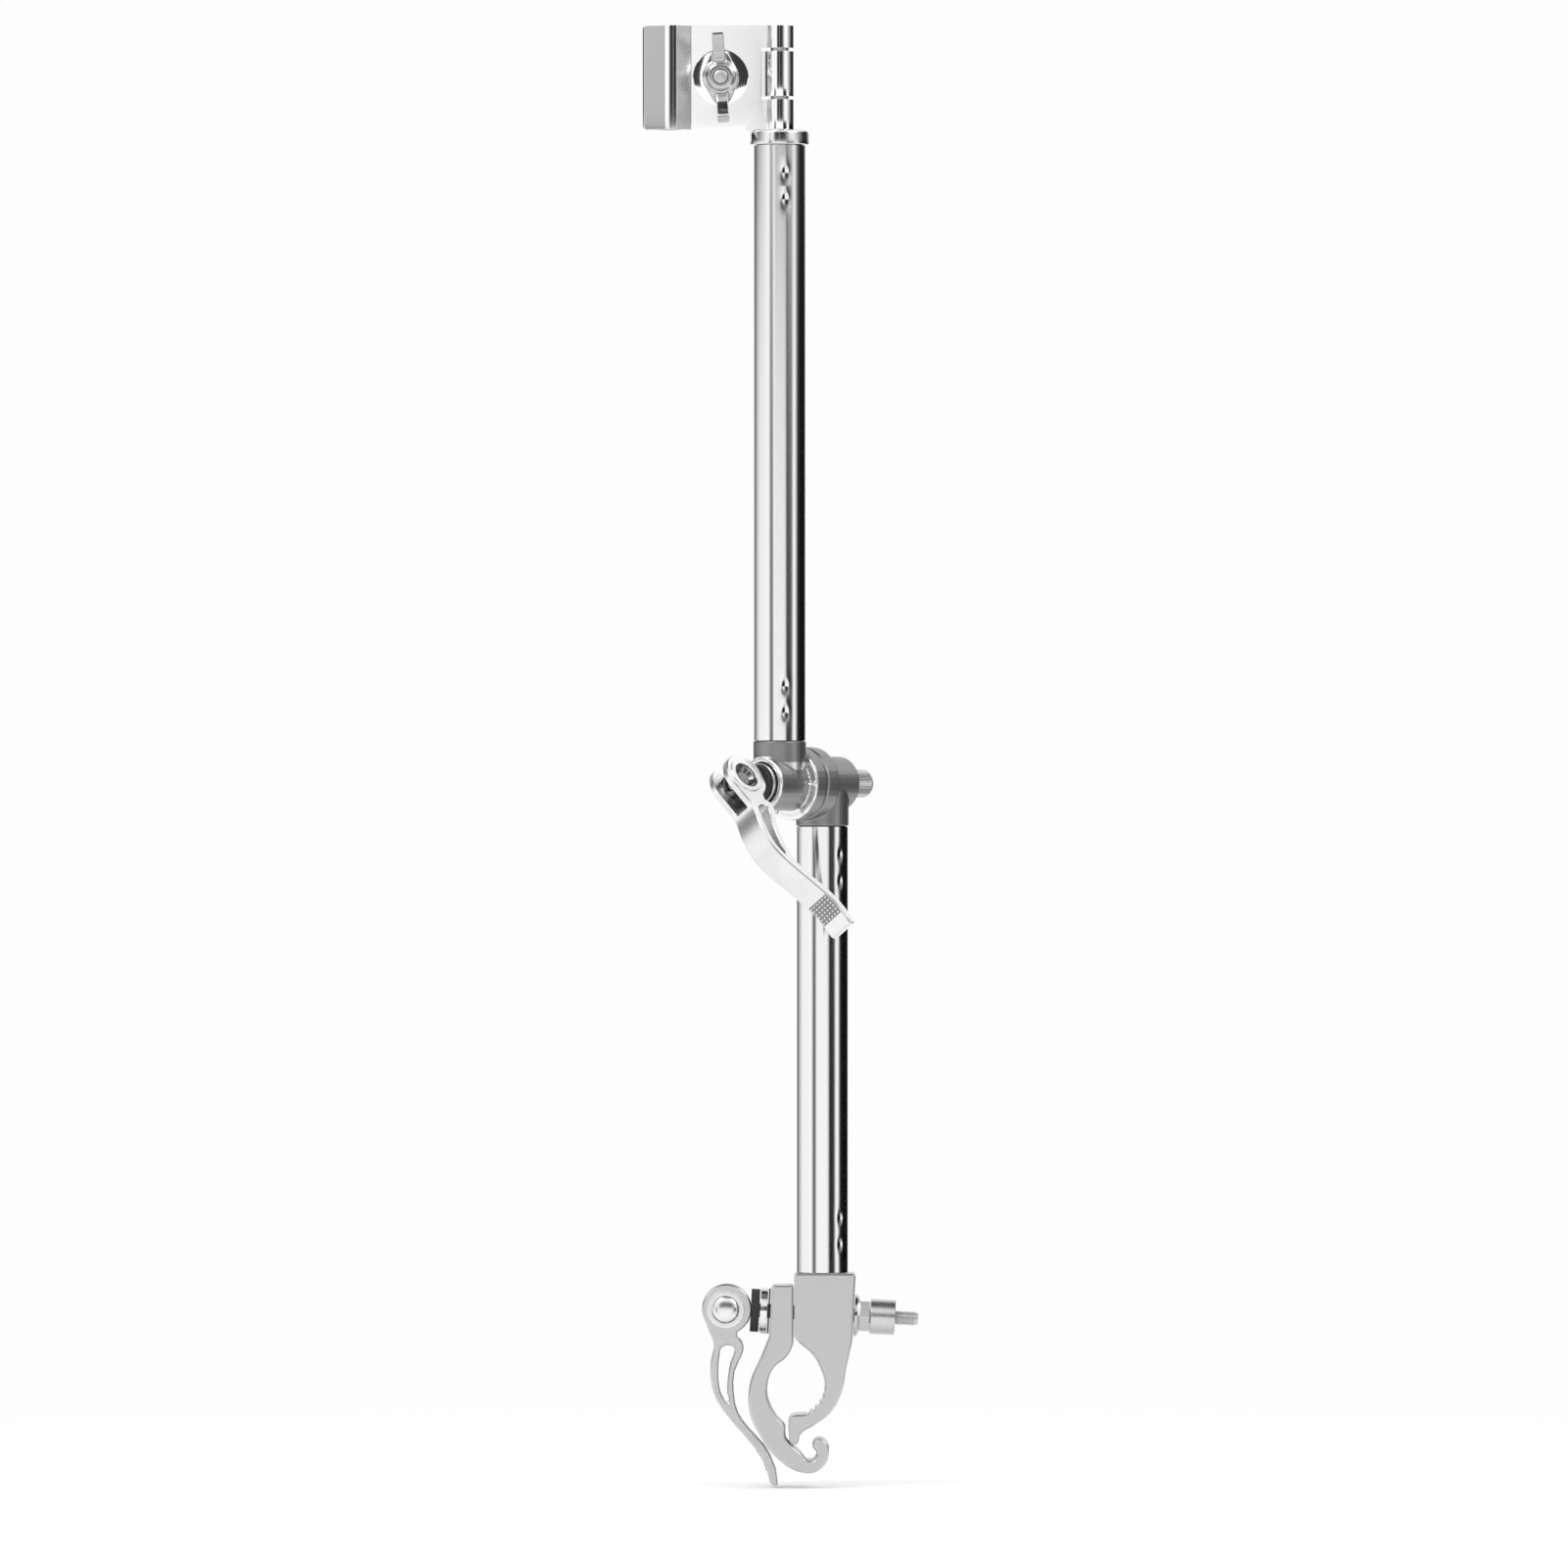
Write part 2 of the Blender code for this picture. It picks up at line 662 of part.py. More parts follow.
def clamp_skewer():
    """Skewer of the handlebar clamp, from its lever to its two nuts."""
    rings = (CLAMP_SEAL, CLAMP_WASHER, CLAMP_FOLLOWER)
    pivot = washer_stack("clamp", CLAMP_AXIS, JAW_FACE, rings, CLAMP_SADDLE)
    lever_frame = side_plane(CLAMP_AXIS @ Vector((0, 0, pivot)))
    trunnion("clamp", CLAMP_AXIS, pivot, lever_frame)
    lever("clamp", lever_frame)

    flange_low = -BODY_FACE - GAP - FLANGE_T
    hex_low = flange_low - HEX_T
    barrel_low = hex_low - GAP - BARREL_NUT_T
    rod("clamp", CLAMP_AXIS, barrel_low - CLAMP_ROD_OUT, pivot + ROD_IN_TRUNNION)

    flange_profile = [
        (0, flange_low + FLANGE_T),
        (FLANGE_R, flange_low + FLANGE_T),
        (FLANGE_R, flange_low + FLANGE_T * 0.5),
        (HEX_R * 0.85, flange_low),
        (0, flange_low),
    ]
    nut = turned("clamp_flange_nut", flange_profile, CLAMP_AXIS)
    join(nut, cylinder("flange_nut_hex", HEX_R, hex_low, flange_low + FLANGE_T / 2, CLAMP_AXIS, 6))
    cut(nut, cylinder("flange_nut_bore", ROD_R + GAP, hex_low * 2, 0, CLAMP_AXIS, FINE_STEPS))
    finish(nut, STEEL)
    barrel = ring(
        "clamp_barrel_nut", ROD_R + GAP, BARREL_NUT_R, barrel_low, hex_low - GAP, CLAMP_AXIS,
        BARREL_EDGE, SMALL_STEPS)
    finish(barrel, STEEL)


# Toothed joint

def casting(name, profile, centre_frame, centre, neck_side):
    """Turned barrel and disc with a neck and a spigot that run to its tube."""
    item = turned(name, profile, centre_frame)
    upright = Matrix.Translation(centre)
    neck_ends = sorted((0, neck_side * NECK_LENGTH))
    spigot_ends = sorted((neck_side * NECK_LENGTH * 0.9, neck_side * (NECK_LENGTH + SPIGOT_LENGTH)))
    join(item, cylinder(name + "_neck", NECK_R, *neck_ends, upright, ROUND_STEPS))
    join(item, cylinder(name + "_spigot", SPIGOT_R, *spigot_ends, upright, ROUND_STEPS))
    return item


def cut_face(item, frame, face, inward):
    """Cut the rod's bore, the spring's pocket and the radial teeth into a joint face."""
    name = item.name
    reach = ARM_OFFSET * 2
    cut(item, cylinder(name + "_bore", ROD_R + BORE_FIT, -reach, reach, frame, FINE_STEPS))
    pocket_r = SPRING_R + SPRING_WIRE * 2
    ends = sorted((face - inward * SPRING_POCKET, face + inward * SPRING_POCKET))
    cut(item, cylinder(name + "_pocket", pocket_r, *ends, frame, FINE_STEPS))
    for index in range(FACE_TEETH):
        turn = Matrix.Rotation(math.tau * index / FACE_TEETH, 4, "Z")
        radial = frame @ turn @ frame_at((0, 0, face), (1, 0, 0), (0, 0, 1))
        groove = cylinder(
            name + "_tooth", FACE_TOOTH_R, FACE_TEETH_IN, FACE_TEETH_OUT, radial, 4)
        cut(item, groove)


def joint_base():
    """Lower casting of the joint: it stands on the lower tube."""
    profile = [
        (0, TEETH_FACE),
        (DISC_R - DISC_EDGE, TEETH_FACE),
        (DISC_R, TEETH_FACE - DISC_EDGE),
        (DISC_R, TEETH_FACE - DISC_T),
        (BARREL_R, TEETH_FACE - DISC_T - CONE_LENGTH),
        (BARREL_R, BARREL_EDGE - BARREL_END),
        (BARREL_R - BARREL_EDGE, -BARREL_END),
        (0, -BARREL_END),
    ]
    base = casting("joint_base", profile, BASE_AXIS, BASE_CENTRE, -1)
    cut_face(base, BASE_AXIS, TEETH_FACE, 1)
    return finish(base, CAST_GREY)


def joint_head():
    """Upper casting of the joint: it carries the upper tube and turns against the base."""
    shoulder = DISC_T - TEETH_FACE
    profile = [
        (0, BARREL_END),
        (BARREL_R - BARREL_EDGE, BARREL_END),
        (BARREL_R, BARREL_END - BARREL_EDGE),
        (BARREL_R, shoulder),
        (DISC_R - DISC_EDGE, shoulder),
        (DISC_R, shoulder - DISC_EDGE),
        (DISC_R, DISC_EDGE - TEETH_FACE),
        (DISC_R - DISC_EDGE, -TEETH_FACE),
        (0, -TEETH_FACE),
    ]
    head = casting("joint_head", profile, HEAD_AXIS, HEAD_CENTRE, 1)
    inside = BARREL_R - RIB_T / 2
    foot = shoulder - RIB_T / 2
    rib_outline = [
        corner(inside, foot),
        corner(BARREL_R + RIB_HEIGHT, foot),
        corner(BARREL_R + RIB_HEIGHT, shoulder + RIB_T / 2),
        corner(inside, shoulder + RIB_LENGTH),
    ]
    for index in range(RIB_COUNT):
        turn = Matrix.Rotation(math.tau * (index + 0.5) / RIB_COUNT, 4, "Z")
        plane = HEAD_AXIS @ turn @ frame_at((0, 0, 0), (0, -1, 0), (1, 0, 0))
        join(head, slab("joint_rib", rib_outline, RIB_T, plane))
    seat_r = JOINT_SEAL[0] + GAP
    cut(head, cylinder("joint_seat", seat_r, BARREL_END - SEAT_DEPTH, BARREL_END * 2, HEAD_AXIS))
    cut_face(head, HEAD_AXIS, -TEETH_FACE, -1)
    return finish(head, CAST_GREY, HEAD_CENTRE)


def joint_spring():
    """Coil between the two castings that parts their teeth when the lever opens."""
    half = SPRING_POCKET + GAP / 2 - GAP - SPRING_WIRE
    count = SPRING_TURNS * 16
    curve = bpy.data.curves.new("joint_spring", "CURVE")
    curve.dimensions = "3D"
    curve.bevel_depth = SPRING_WIRE
    curve.bevel_resolution = 1
    curve.use_fill_caps = True
    spline = curve.splines.new("POLY")
    spline.points.add(count)
    route = []
    for index, knot in enumerate(spline.points):
        x, y = polar(SPRING_R, 360 * SPRING_TURNS * index / count)
        knot.co = (x, y, half * (2 * index / count - 1), 1)
        route.append(knot.co.to_3d())
    turn_points = count // SPRING_TURNS
    least = min((a - b).length for a, b in zip(route, route[turn_points:])) - 2 * SPRING_WIRE
    print("joint_spring: least gap between turns, metres:", round(least, 5))
    middle = HEAD_AXIS @ Matrix.Translation((0, 0, -ARM_OFFSET / 2))
    coil = link("joint_spring_wire", curve, middle)
    bpy.context.view_layer.update()
    depsgraph = bpy.context.evaluated_depsgraph_get()
    mesh = bpy.data.meshes.new_from_object(coil.evaluated_get(depsgraph), depsgraph=depsgraph)
    bpy.data.objects.remove(coil)
    close_mesh(mesh)
    return finish(link("joint_spring", mesh, middle), STEEL, HEAD_CENTRE)


def joint_skewer():
    """Skewer of the joint, from its swivelled lever to its blind nut."""
    rings = (JOINT_SEAL, JOINT_WASHER, JOINT_FOLLOWER)
    start = BARREL_END - SEAT_DEPTH
    pivot = washer_stack("joint", HEAD_LEVER_AXIS, start, rings, JOINT_SADDLE)
    centre = HEAD_LEVER_AXIS @ Vector((0, 0, pivot))
    lever_frame = frame_at(centre, -HEAD_LEVER_AXIS.col[1].to_3d(), -JOINT_OUT)
    trunnion("joint", HEAD_LEVER_AXIS, pivot, lever_frame, socket=True)
    lever("joint", lever_frame)
    nut_top = -BARREL_END - GAP
    nut_low = nut_top - JOINT_NUT_T
    rod("joint", HEAD_LEVER_AXIS, nut_top - ARM_OFFSET - JOINT_ROD_IN_NUT, pivot + ROD_IN_TRUNNION)
    soft = JOINT_NUT_R * 0.2
    profile = [
        (0, nut_top),
        (JOINT_NUT_R - soft / 2, nut_top),
        (JOINT_NUT_R, nut_top - soft / 2),
        (JOINT_NUT_R, nut_low + soft),
        (JOINT_NUT_R - soft * 0.3, nut_low + soft * 0.3),
        (JOINT_NUT_R - soft, nut_low),
        (0, nut_low),
    ]
    nut = turned("joint_nut", profile, BASE_AXIS, SMALL_STEPS)
    floor = nut_low + JOINT_NUT_WALL
    cut(nut, cylinder("joint_nut_bore", ROD_R + GAP, floor, 0, BASE_AXIS, FINE_STEPS))
    finish(nut, STEEL)


# Tubes

def tube(name, frame, low, length, crimp_turn, origin=None):
    """Stainless tube, crimped on its spigots by two punched dents at each end."""
    high = low + length
    inner = TUBE_R - TUBE_WALL
    profile = [(TUBE_R, high), (TUBE_R, low), (inner, low), (inner, high)]
    item = turned(name, profile, frame, ring=True)
    out = Vector((math.sin(crimp_turn), -math.cos(crimp_turn), 0))
    starts = (low + CRIMP_FROM_END, low + CRIMP_FROM_END + CRIMP_PITCH)
    for height in (*starts, *(low + high - start for start in starts)):
        punch = frame @ frame_at(Vector((0, 0, height)) + out * inner, out, UP)
        shape = bmesh.new()
        slope = (CRIMP_R - CRIMP_HOLE_R) / TUBE_WALL
        bmesh.ops.create_cone(
            shape, cap_ends=True, segments=12, depth=TUBE_WALL * 3,
            radius1=CRIMP_HOLE_R * 0.6, radius2=CRIMP_HOLE_R + slope * TUBE_WALL * 1.6)
        bmesh.ops.translate(shape, vec=(0, 0, TUBE_WALL * 0.9), verts=shape.verts)
        mesh = bpy.data.meshes.new(name + "_crimp")
        shape.to_mesh(mesh)
        shape.free()
        cut(item, link(name + "_crimp", mesh, punch))
    return finish(item, STAINLESS, origin)


# Umbrella clamp

def top_cap():
    """Plug in the upper tube's end that carries the hinge pin and the front leaf's tab."""
    low = UPPER_TUBE_TOP + GAP
    soft = CAP_CHAMFER / 4
    profile = [
        (0, CAP_TOP),
        (CAP_R - CAP_CHAMFER, CAP_TOP),
        (CAP_R - CAP_CHAMFER * 0.3, CAP_TOP - CAP_CHAMFER * 0.3),
        (CAP_R, CAP_TOP - CAP_CHAMFER),
        (CAP_R, low + soft),
        (CAP_R - soft, low),
        (SPIGOT_R, low),
        (SPIGOT_R, low - CAP_PLUG),
        (0, low - CAP_PLUG),
    ]
    cap = turned("top_cap", profile, UPPER_AXIS)
    seat = CAP_TOP - PIN_IN_CAP - GAP
    cut(cap, cylinder("cap_pin_seat", PIN_R + GAP, seat, CAP_TOP * 1.1, UPPER_AXIS))
    low_slot = (-CAP_R * 1.1, -LEAF_SPACE / 2 - LEAF_T - GAP, -TAB_DEPTH - GAP)
    high_slot = (TAB_WIDTH - CAP_R + GAP, -LEAF_SPACE / 2 + GAP, TAB_DEPTH)
    cut(cap, box("cap_tab_slot", low_slot, high_slot, HINGE_AXIS))
    return finish(cap, STAINLESS, HEAD_CENTRE)


def hinge_pin():
    """Pin that the two leaves turn on, held in the cap."""
    pin = cylinder(
        "hinge_pin", PIN_R, CAP_TOP - PIN_IN_CAP, LEAF_LOW + HINGE_HEIGHT, UPPER_AXIS)
    round_edges(pin, PIN_R * 0.1)
    return finish(pin, STEEL, HEAD_CENTRE)


def rounded_path(points, radii, count=3):
    """Open path through plane points, each inner corner rounded with its own radius."""
    path = [Vector(points[0])]
    for before, here, after, radius in zip(points, points[1:], points[2:], radii):
        here = Vector(here)
        back = (Vector(before) - here).normalized()
        ahead = (Vector(after) - here).normalized()
        turn = math.pi - back.angle(ahead)
        reach = radius * math.tan(turn / 2)
        start = here + back * reach
        end = here + ahead * reach
        for index in range(count + 1):
            share = index / count
            near = start.lerp(here, share).lerp(here.lerp(end, share), share)
            path.append(near)
    path.append(Vector(points[-1]))
    return path


def leaf_sheet(name, side):
    """Bent sheet of one leaf with its V groove; side is -1 for the front leaf, 1 for the rear."""
    plane = side * LEAF_SPACE / 2
    foot_round = LEAF_T * 1.3
    near_foot = BOLT_FROM_HINGE + WING_WASHER_R + foot_round * 0.45 + GAP
    bends = [
        (HINGE_R, plane),
        (-near_foot, plane),
        (-GROOVE_FROM_HINGE, plane + side * GROOVE_DEPTH),
        (-GROOVE_FROM_HINGE - GROOVE_FAR, plane),
        (-LEAF_LENGTH - LEAF_CORNER, plane),
    ]
    path = rounded_path(bends, (foot_round, GROOVE_ROUND, foot_round))
    shape = bmesh.new()
    low = [shape.verts.new((x, y, -TAB_DEPTH * 2)) for x, y in path]
    high = [shape.verts.new((x, y, HINGE_HEIGHT + TAB_DEPTH)) for x, y in path]
    for index in range(len(path) - 1):
        shape.faces.new((low[index], low[index + 1], high[index + 1], high[index]))
    mesh = bpy.data.meshes.new(name)
    shape.to_mesh(mesh)
    shape.free()
    item = link(name, mesh, HINGE_AXIS)
    wall = item.modifiers.new("Wall", "SOLIDIFY")
    wall.thickness = LEAF_T
    wall.offset = side
    wall.use_even_offset = True
    return item


def leaf_trim(name, notches, bottom=()):
    """Front outline of a leaf as a deep block; notches are (low, high) stretches at the hinge."""
    notch_x = -HINGE_R - HINGE_NOTCH
    soft = LEAF_CORNER
    outline = arc(soft, 180, 270, (soft - LEAF_LENGTH, soft), 3)
    outline += bottom
    levels = [0, *(level for notch in notches for level in notch), HINGE_HEIGHT]
    for index, (low, high) in enumerate(zip(levels, levels[1:])):
        x = notch_x if index % 2 else 0
        if high > low:
            outline += [corner(x, low), corner(x, high)]
    outline += arc(soft, 90, 180, (soft - LEAF_LENGTH, HINGE_HEIGHT - soft), 3)
    return slab(name, outline, (GROOVE_DEPTH + LEAF_T) * 4, HINGE_AXIS @ side_plane())


def leaf(name, side, knuckles, notches, bottom, bolt_slot):
    """One leaf: its trimmed sheet, its hinge knuckles and its bolt hole."""
    item = leaf_sheet(name, side)
    combine(item, leaf_trim(name + "_trim", notches, bottom), "INTERSECT")
    for low, high in knuckles:
        join(item, cylinder(name + "_knuckle", HINGE_R, low, high, HINGE_AXIS, SMALL_STEPS))
    reach = HINGE_HEIGHT * 2
    cut(item, cylinder(name + "_pin_bore", PIN_R + GAP, -reach, reach, HINGE_AXIS, SMALL_STEPS))
    radius = BOLT_R + GAP
    centre = (-BOLT_FROM_HINGE, HINGE_HEIGHT / 2)
    slot = [
        *arc(radius, -90, 90, (centre[0] + bolt_slot, centre[1])),
        *arc(radius, 90, 270, (centre[0] - bolt_slot * 1.2, centre[1])),
    ]
    cut(item, slab(name + "_bolt_hole", slot, LEAF_T * 8, HINGE_AXIS @ side_plane()))
    return item


def leaves():
    """Front leaf, fixed to the cap, and rear leaf, which opens about the hinge pin."""
    top_low = HINGE_HEIGHT - TOP_KNUCKLE
    bend = TAB_DEPTH / 2
    tab = [
        *arc(bend, 90, 0, (-CAP_R - bend, -bend), 4),
        corner(-CAP_R, -TAB_DEPTH),
        corner(TAB_WIDTH - CAP_R, -TAB_DEPTH),
        corner(TAB_WIDTH - CAP_R, 0),
    ]
    front = leaf(
        "front_leaf", -1, ((0, LOW_KNUCKLE), (top_low, HINGE_HEIGHT)),
        ((LOW_KNUCKLE, top_low),), tab, BOLT_SLOT)
    finish(front, STAINLESS, HEAD_CENTRE)
    middle = (LOW_KNUCKLE + KNUCKLE_GAP, top_low - KNUCKLE_GAP)
    rear = leaf(
        "rear_leaf", 1, (middle,), ((0, middle[0]), (middle[1], HINGE_HEIGHT)), [], 0)
    finish(rear, STAINLESS)


def leaf_bolt():
    """Dome-headed bolt through both leaves, held in the rear one."""
    back = -LEAF_SPACE / 2 - LEAF_T - GAP
    tip = bolt_tip()
    profile = [
        (0, tip),
        (BOLT_R * 0.85, tip),
        (BOLT_R, tip - BOLT_R * 0.15),
        (BOLT_R, back),
        (BOLT_HEAD_R, back),
        (BOLT_HEAD_R, back - BOLT_HEAD_T * 0.3),
        (BOLT_HEAD_R * 0.8, back - BOLT_HEAD_T * 0.8),
        (BOLT_HEAD_R * 0.4, back - BOLT_HEAD_T),
        (0, back - BOLT_HEAD_T),
    ]
    bolt = turned("leaf_bolt", profile, BOLT_AXIS, SMALL_STEPS)
    return finish(bolt, STEEL, HINGE_AXIS.translation)


def washer_back():
    """Height of the wing washer's back along the bolt's axis."""
    return LEAF_SPACE / 2 + LEAF_T + GAP


def hub_back():
    """Height of the wing nut's back along the bolt's axis."""
    return washer_back() + WING_WASHER_T + GAP


def bolt_tip():
    """Height of the bolt's tip along its axis."""
    return hub_back() + WING_BOSS_T + BOLT_OUT


def wing_nut():
    """Wing nut that draws the leaves together: a stepped, drawn-out hub with two rising wings."""
    back = hub_back()
    soft = (WING_HUB_R - WING_BOSS_R) / 3
    profile = [
        (BOLT_R + GAP, back + WING_BOSS_T),
        (WING_BOSS_R - soft, back + WING_BOSS_T),
        (WING_BOSS_R, back + WING_BOSS_T - soft),
        (WING_BOSS_R, back + WING_HUB_T),
        (WING_HUB_R, back + WING_HUB_T - soft),
        (WING_HUB_R, back),
        (BOLT_R + GAP, back),
    ]
    nut_frame = BOLT_AXIS @ Matrix.Rotation(WING_TURN, 4, "Z")
    nut = turned("wing_nut", profile, nut_frame, SMALL_STEPS, ring=True)
    foot = [
        *arc(WING_HUB_R, 50, 130), corner(-WING_FOOT, WING_WIDTH / 2),
        corner(-WING_FOOT, -WING_WIDTH / 2), *arc(WING_HUB_R, 230, 310),
        corner(WING_FOOT, -WING_WIDTH / 2), corner(WING_FOOT, WING_WIDTH / 2),
    ]
    foot_frame = nut_frame @ Matrix.Translation((0, 0, back + WING_HUB_T * 0.4))
    join(nut, slab("wing_foot", foot, WING_HUB_T * 0.6, foot_frame))
    cut(nut, cylinder("wing_bore", BOLT_R + GAP, 0, back * 4, nut_frame, SMALL_STEPS))
    reach = WING_SPAN / 2
    outline = [
        corner(WING_BOSS_R * 0.75, back + WING_RISE * 0.06),
        smooth(reach * 0.55, back + WING_RISE * 0.10),
        smooth(reach * 0.86, back + WING_RISE * 0.42),
        smooth(reach * 0.98, back + WING_RISE * 0.78),
        smooth(reach * 0.97, back + WING_RISE * 0.97),
        smooth(reach * 0.86, back + WING_RISE),
        smooth(reach * 0.75, back + WING_RISE * 0.80),
        smooth(reach * 0.52, back + WING_RISE * 0.50),
        corner(WING_BOSS_R * 0.75, back + WING_RISE * 0.45),
    ]
    for turn in (0, math.pi):
        around = nut_frame @ Matrix.Rotation(turn, 4, "Z")
        plane = around @ frame_at((0, 0, 0), (0, -1, 0), (1, 0, 0))
        join(nut, slab("wing", outline, WING_WIDTH, plane, edge=WING_WIDTH * 0.16))
    return finish(nut, STEEL)


def umbrella_clamp():
    """Cap, pin, leaves and the wing nut's set at the top of the arm."""
    top_cap()
    hinge_pin()
    leaves()
    leaf_bolt()
    washer = ring(
        "wing_washer", BOLT_R + GAP, WING_WASHER_R, washer_back(),
        washer_back() + WING_WASHER_T, BOLT_AXIS)
    finish(washer, STEEL)
    wing_nut()


BOLT_AXIS = HINGE_AXIS @ frame_at(
    (-BOLT_FROM_HINGE, 0, HINGE_HEIGHT / 2), (0, -1, 0), (0, 0, 1))

clamp_body()
clamp_jaw()
clamp_skewer()
tube("lower_tube", LOWER_AXIS, LOWER_TUBE_LOW, LOWER_TUBE_LENGTH, LOWER_CRIMP_TURN)
joint_base()
joint_head()
joint_spring()
joint_skewer()
tube(
    "upper_tube", UPPER_AXIS, UPPER_TUBE_LOW, UPPER_TUBE_LENGTH, UPPER_CRIMP_TURN, HEAD_CENTRE)
umbrella_clamp()
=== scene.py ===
"""Looks of a folding umbrella holder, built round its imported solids.

The holder has a hooked handlebar clamp below, two polished tubes with a toothed joint
between them, and a hinged two-leaf clamp with a wing nut above. Metres, +Z up.
"""

import logging
import math
from collections.abc import Sequence
from dataclasses import dataclass
from enum import Enum

import bmesh
import bpy
from mathutils import Matrix, Vector
from mathutils.bvhtree import BVHTree


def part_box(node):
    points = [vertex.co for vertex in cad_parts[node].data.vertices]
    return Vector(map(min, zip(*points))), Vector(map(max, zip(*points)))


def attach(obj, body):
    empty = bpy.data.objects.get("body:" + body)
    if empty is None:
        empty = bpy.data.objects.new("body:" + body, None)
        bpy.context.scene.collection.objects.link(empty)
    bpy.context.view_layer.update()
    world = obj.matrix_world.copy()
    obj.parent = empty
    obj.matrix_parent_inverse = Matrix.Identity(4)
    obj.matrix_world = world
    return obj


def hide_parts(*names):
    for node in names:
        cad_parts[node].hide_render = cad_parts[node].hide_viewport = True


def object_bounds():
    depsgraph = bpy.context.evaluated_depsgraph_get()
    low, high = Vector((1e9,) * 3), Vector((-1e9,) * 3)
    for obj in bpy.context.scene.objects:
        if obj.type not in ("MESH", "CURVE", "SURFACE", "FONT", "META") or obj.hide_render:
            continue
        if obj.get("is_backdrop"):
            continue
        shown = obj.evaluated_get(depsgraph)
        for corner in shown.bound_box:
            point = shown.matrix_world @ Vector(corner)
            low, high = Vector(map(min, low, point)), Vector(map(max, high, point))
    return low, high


LOG = logging.getLogger("umbrella_holder")
MM = 0.001
WELD = 2e-6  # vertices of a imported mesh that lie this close, in metres, are one
FLAT = math.radians(0.6)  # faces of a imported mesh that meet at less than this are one

Profile = Sequence[tuple[float, float]]
Shape = bmesh.types.BMesh
NodeTree = bpy.types.NodeTree
Socket = bpy.types.NodeSocket

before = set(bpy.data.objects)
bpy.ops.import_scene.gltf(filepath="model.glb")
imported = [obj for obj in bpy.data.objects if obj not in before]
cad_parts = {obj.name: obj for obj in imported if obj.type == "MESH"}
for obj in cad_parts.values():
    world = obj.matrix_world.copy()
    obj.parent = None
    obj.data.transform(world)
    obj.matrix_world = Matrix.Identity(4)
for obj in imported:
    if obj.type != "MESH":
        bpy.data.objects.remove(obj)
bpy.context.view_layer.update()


class Grain(Enum):
    """How a surface was finished, which sets the pattern of its roughness and bump."""

    POLISHED = "buffed bright, with faint marks along the part"
    CAST = "blasted casting with a fine even grain"
    TURNED = "turned or brushed, with fine lines across the part's X"
    MOULDED = "moulded plastic or rubber"


BROAD_CELLS = 60.0  # per metre, in the slow change of tone over a part
NOISE_DETAIL = 3.0
NOISE_MIDDLE = (0.3, 0.7)  # the stretch of a noise's values that a finish uses
ROUGHNESS_SHARES = (0.82, 1.18)
BUMP_DEPTH = 0.2 * MM


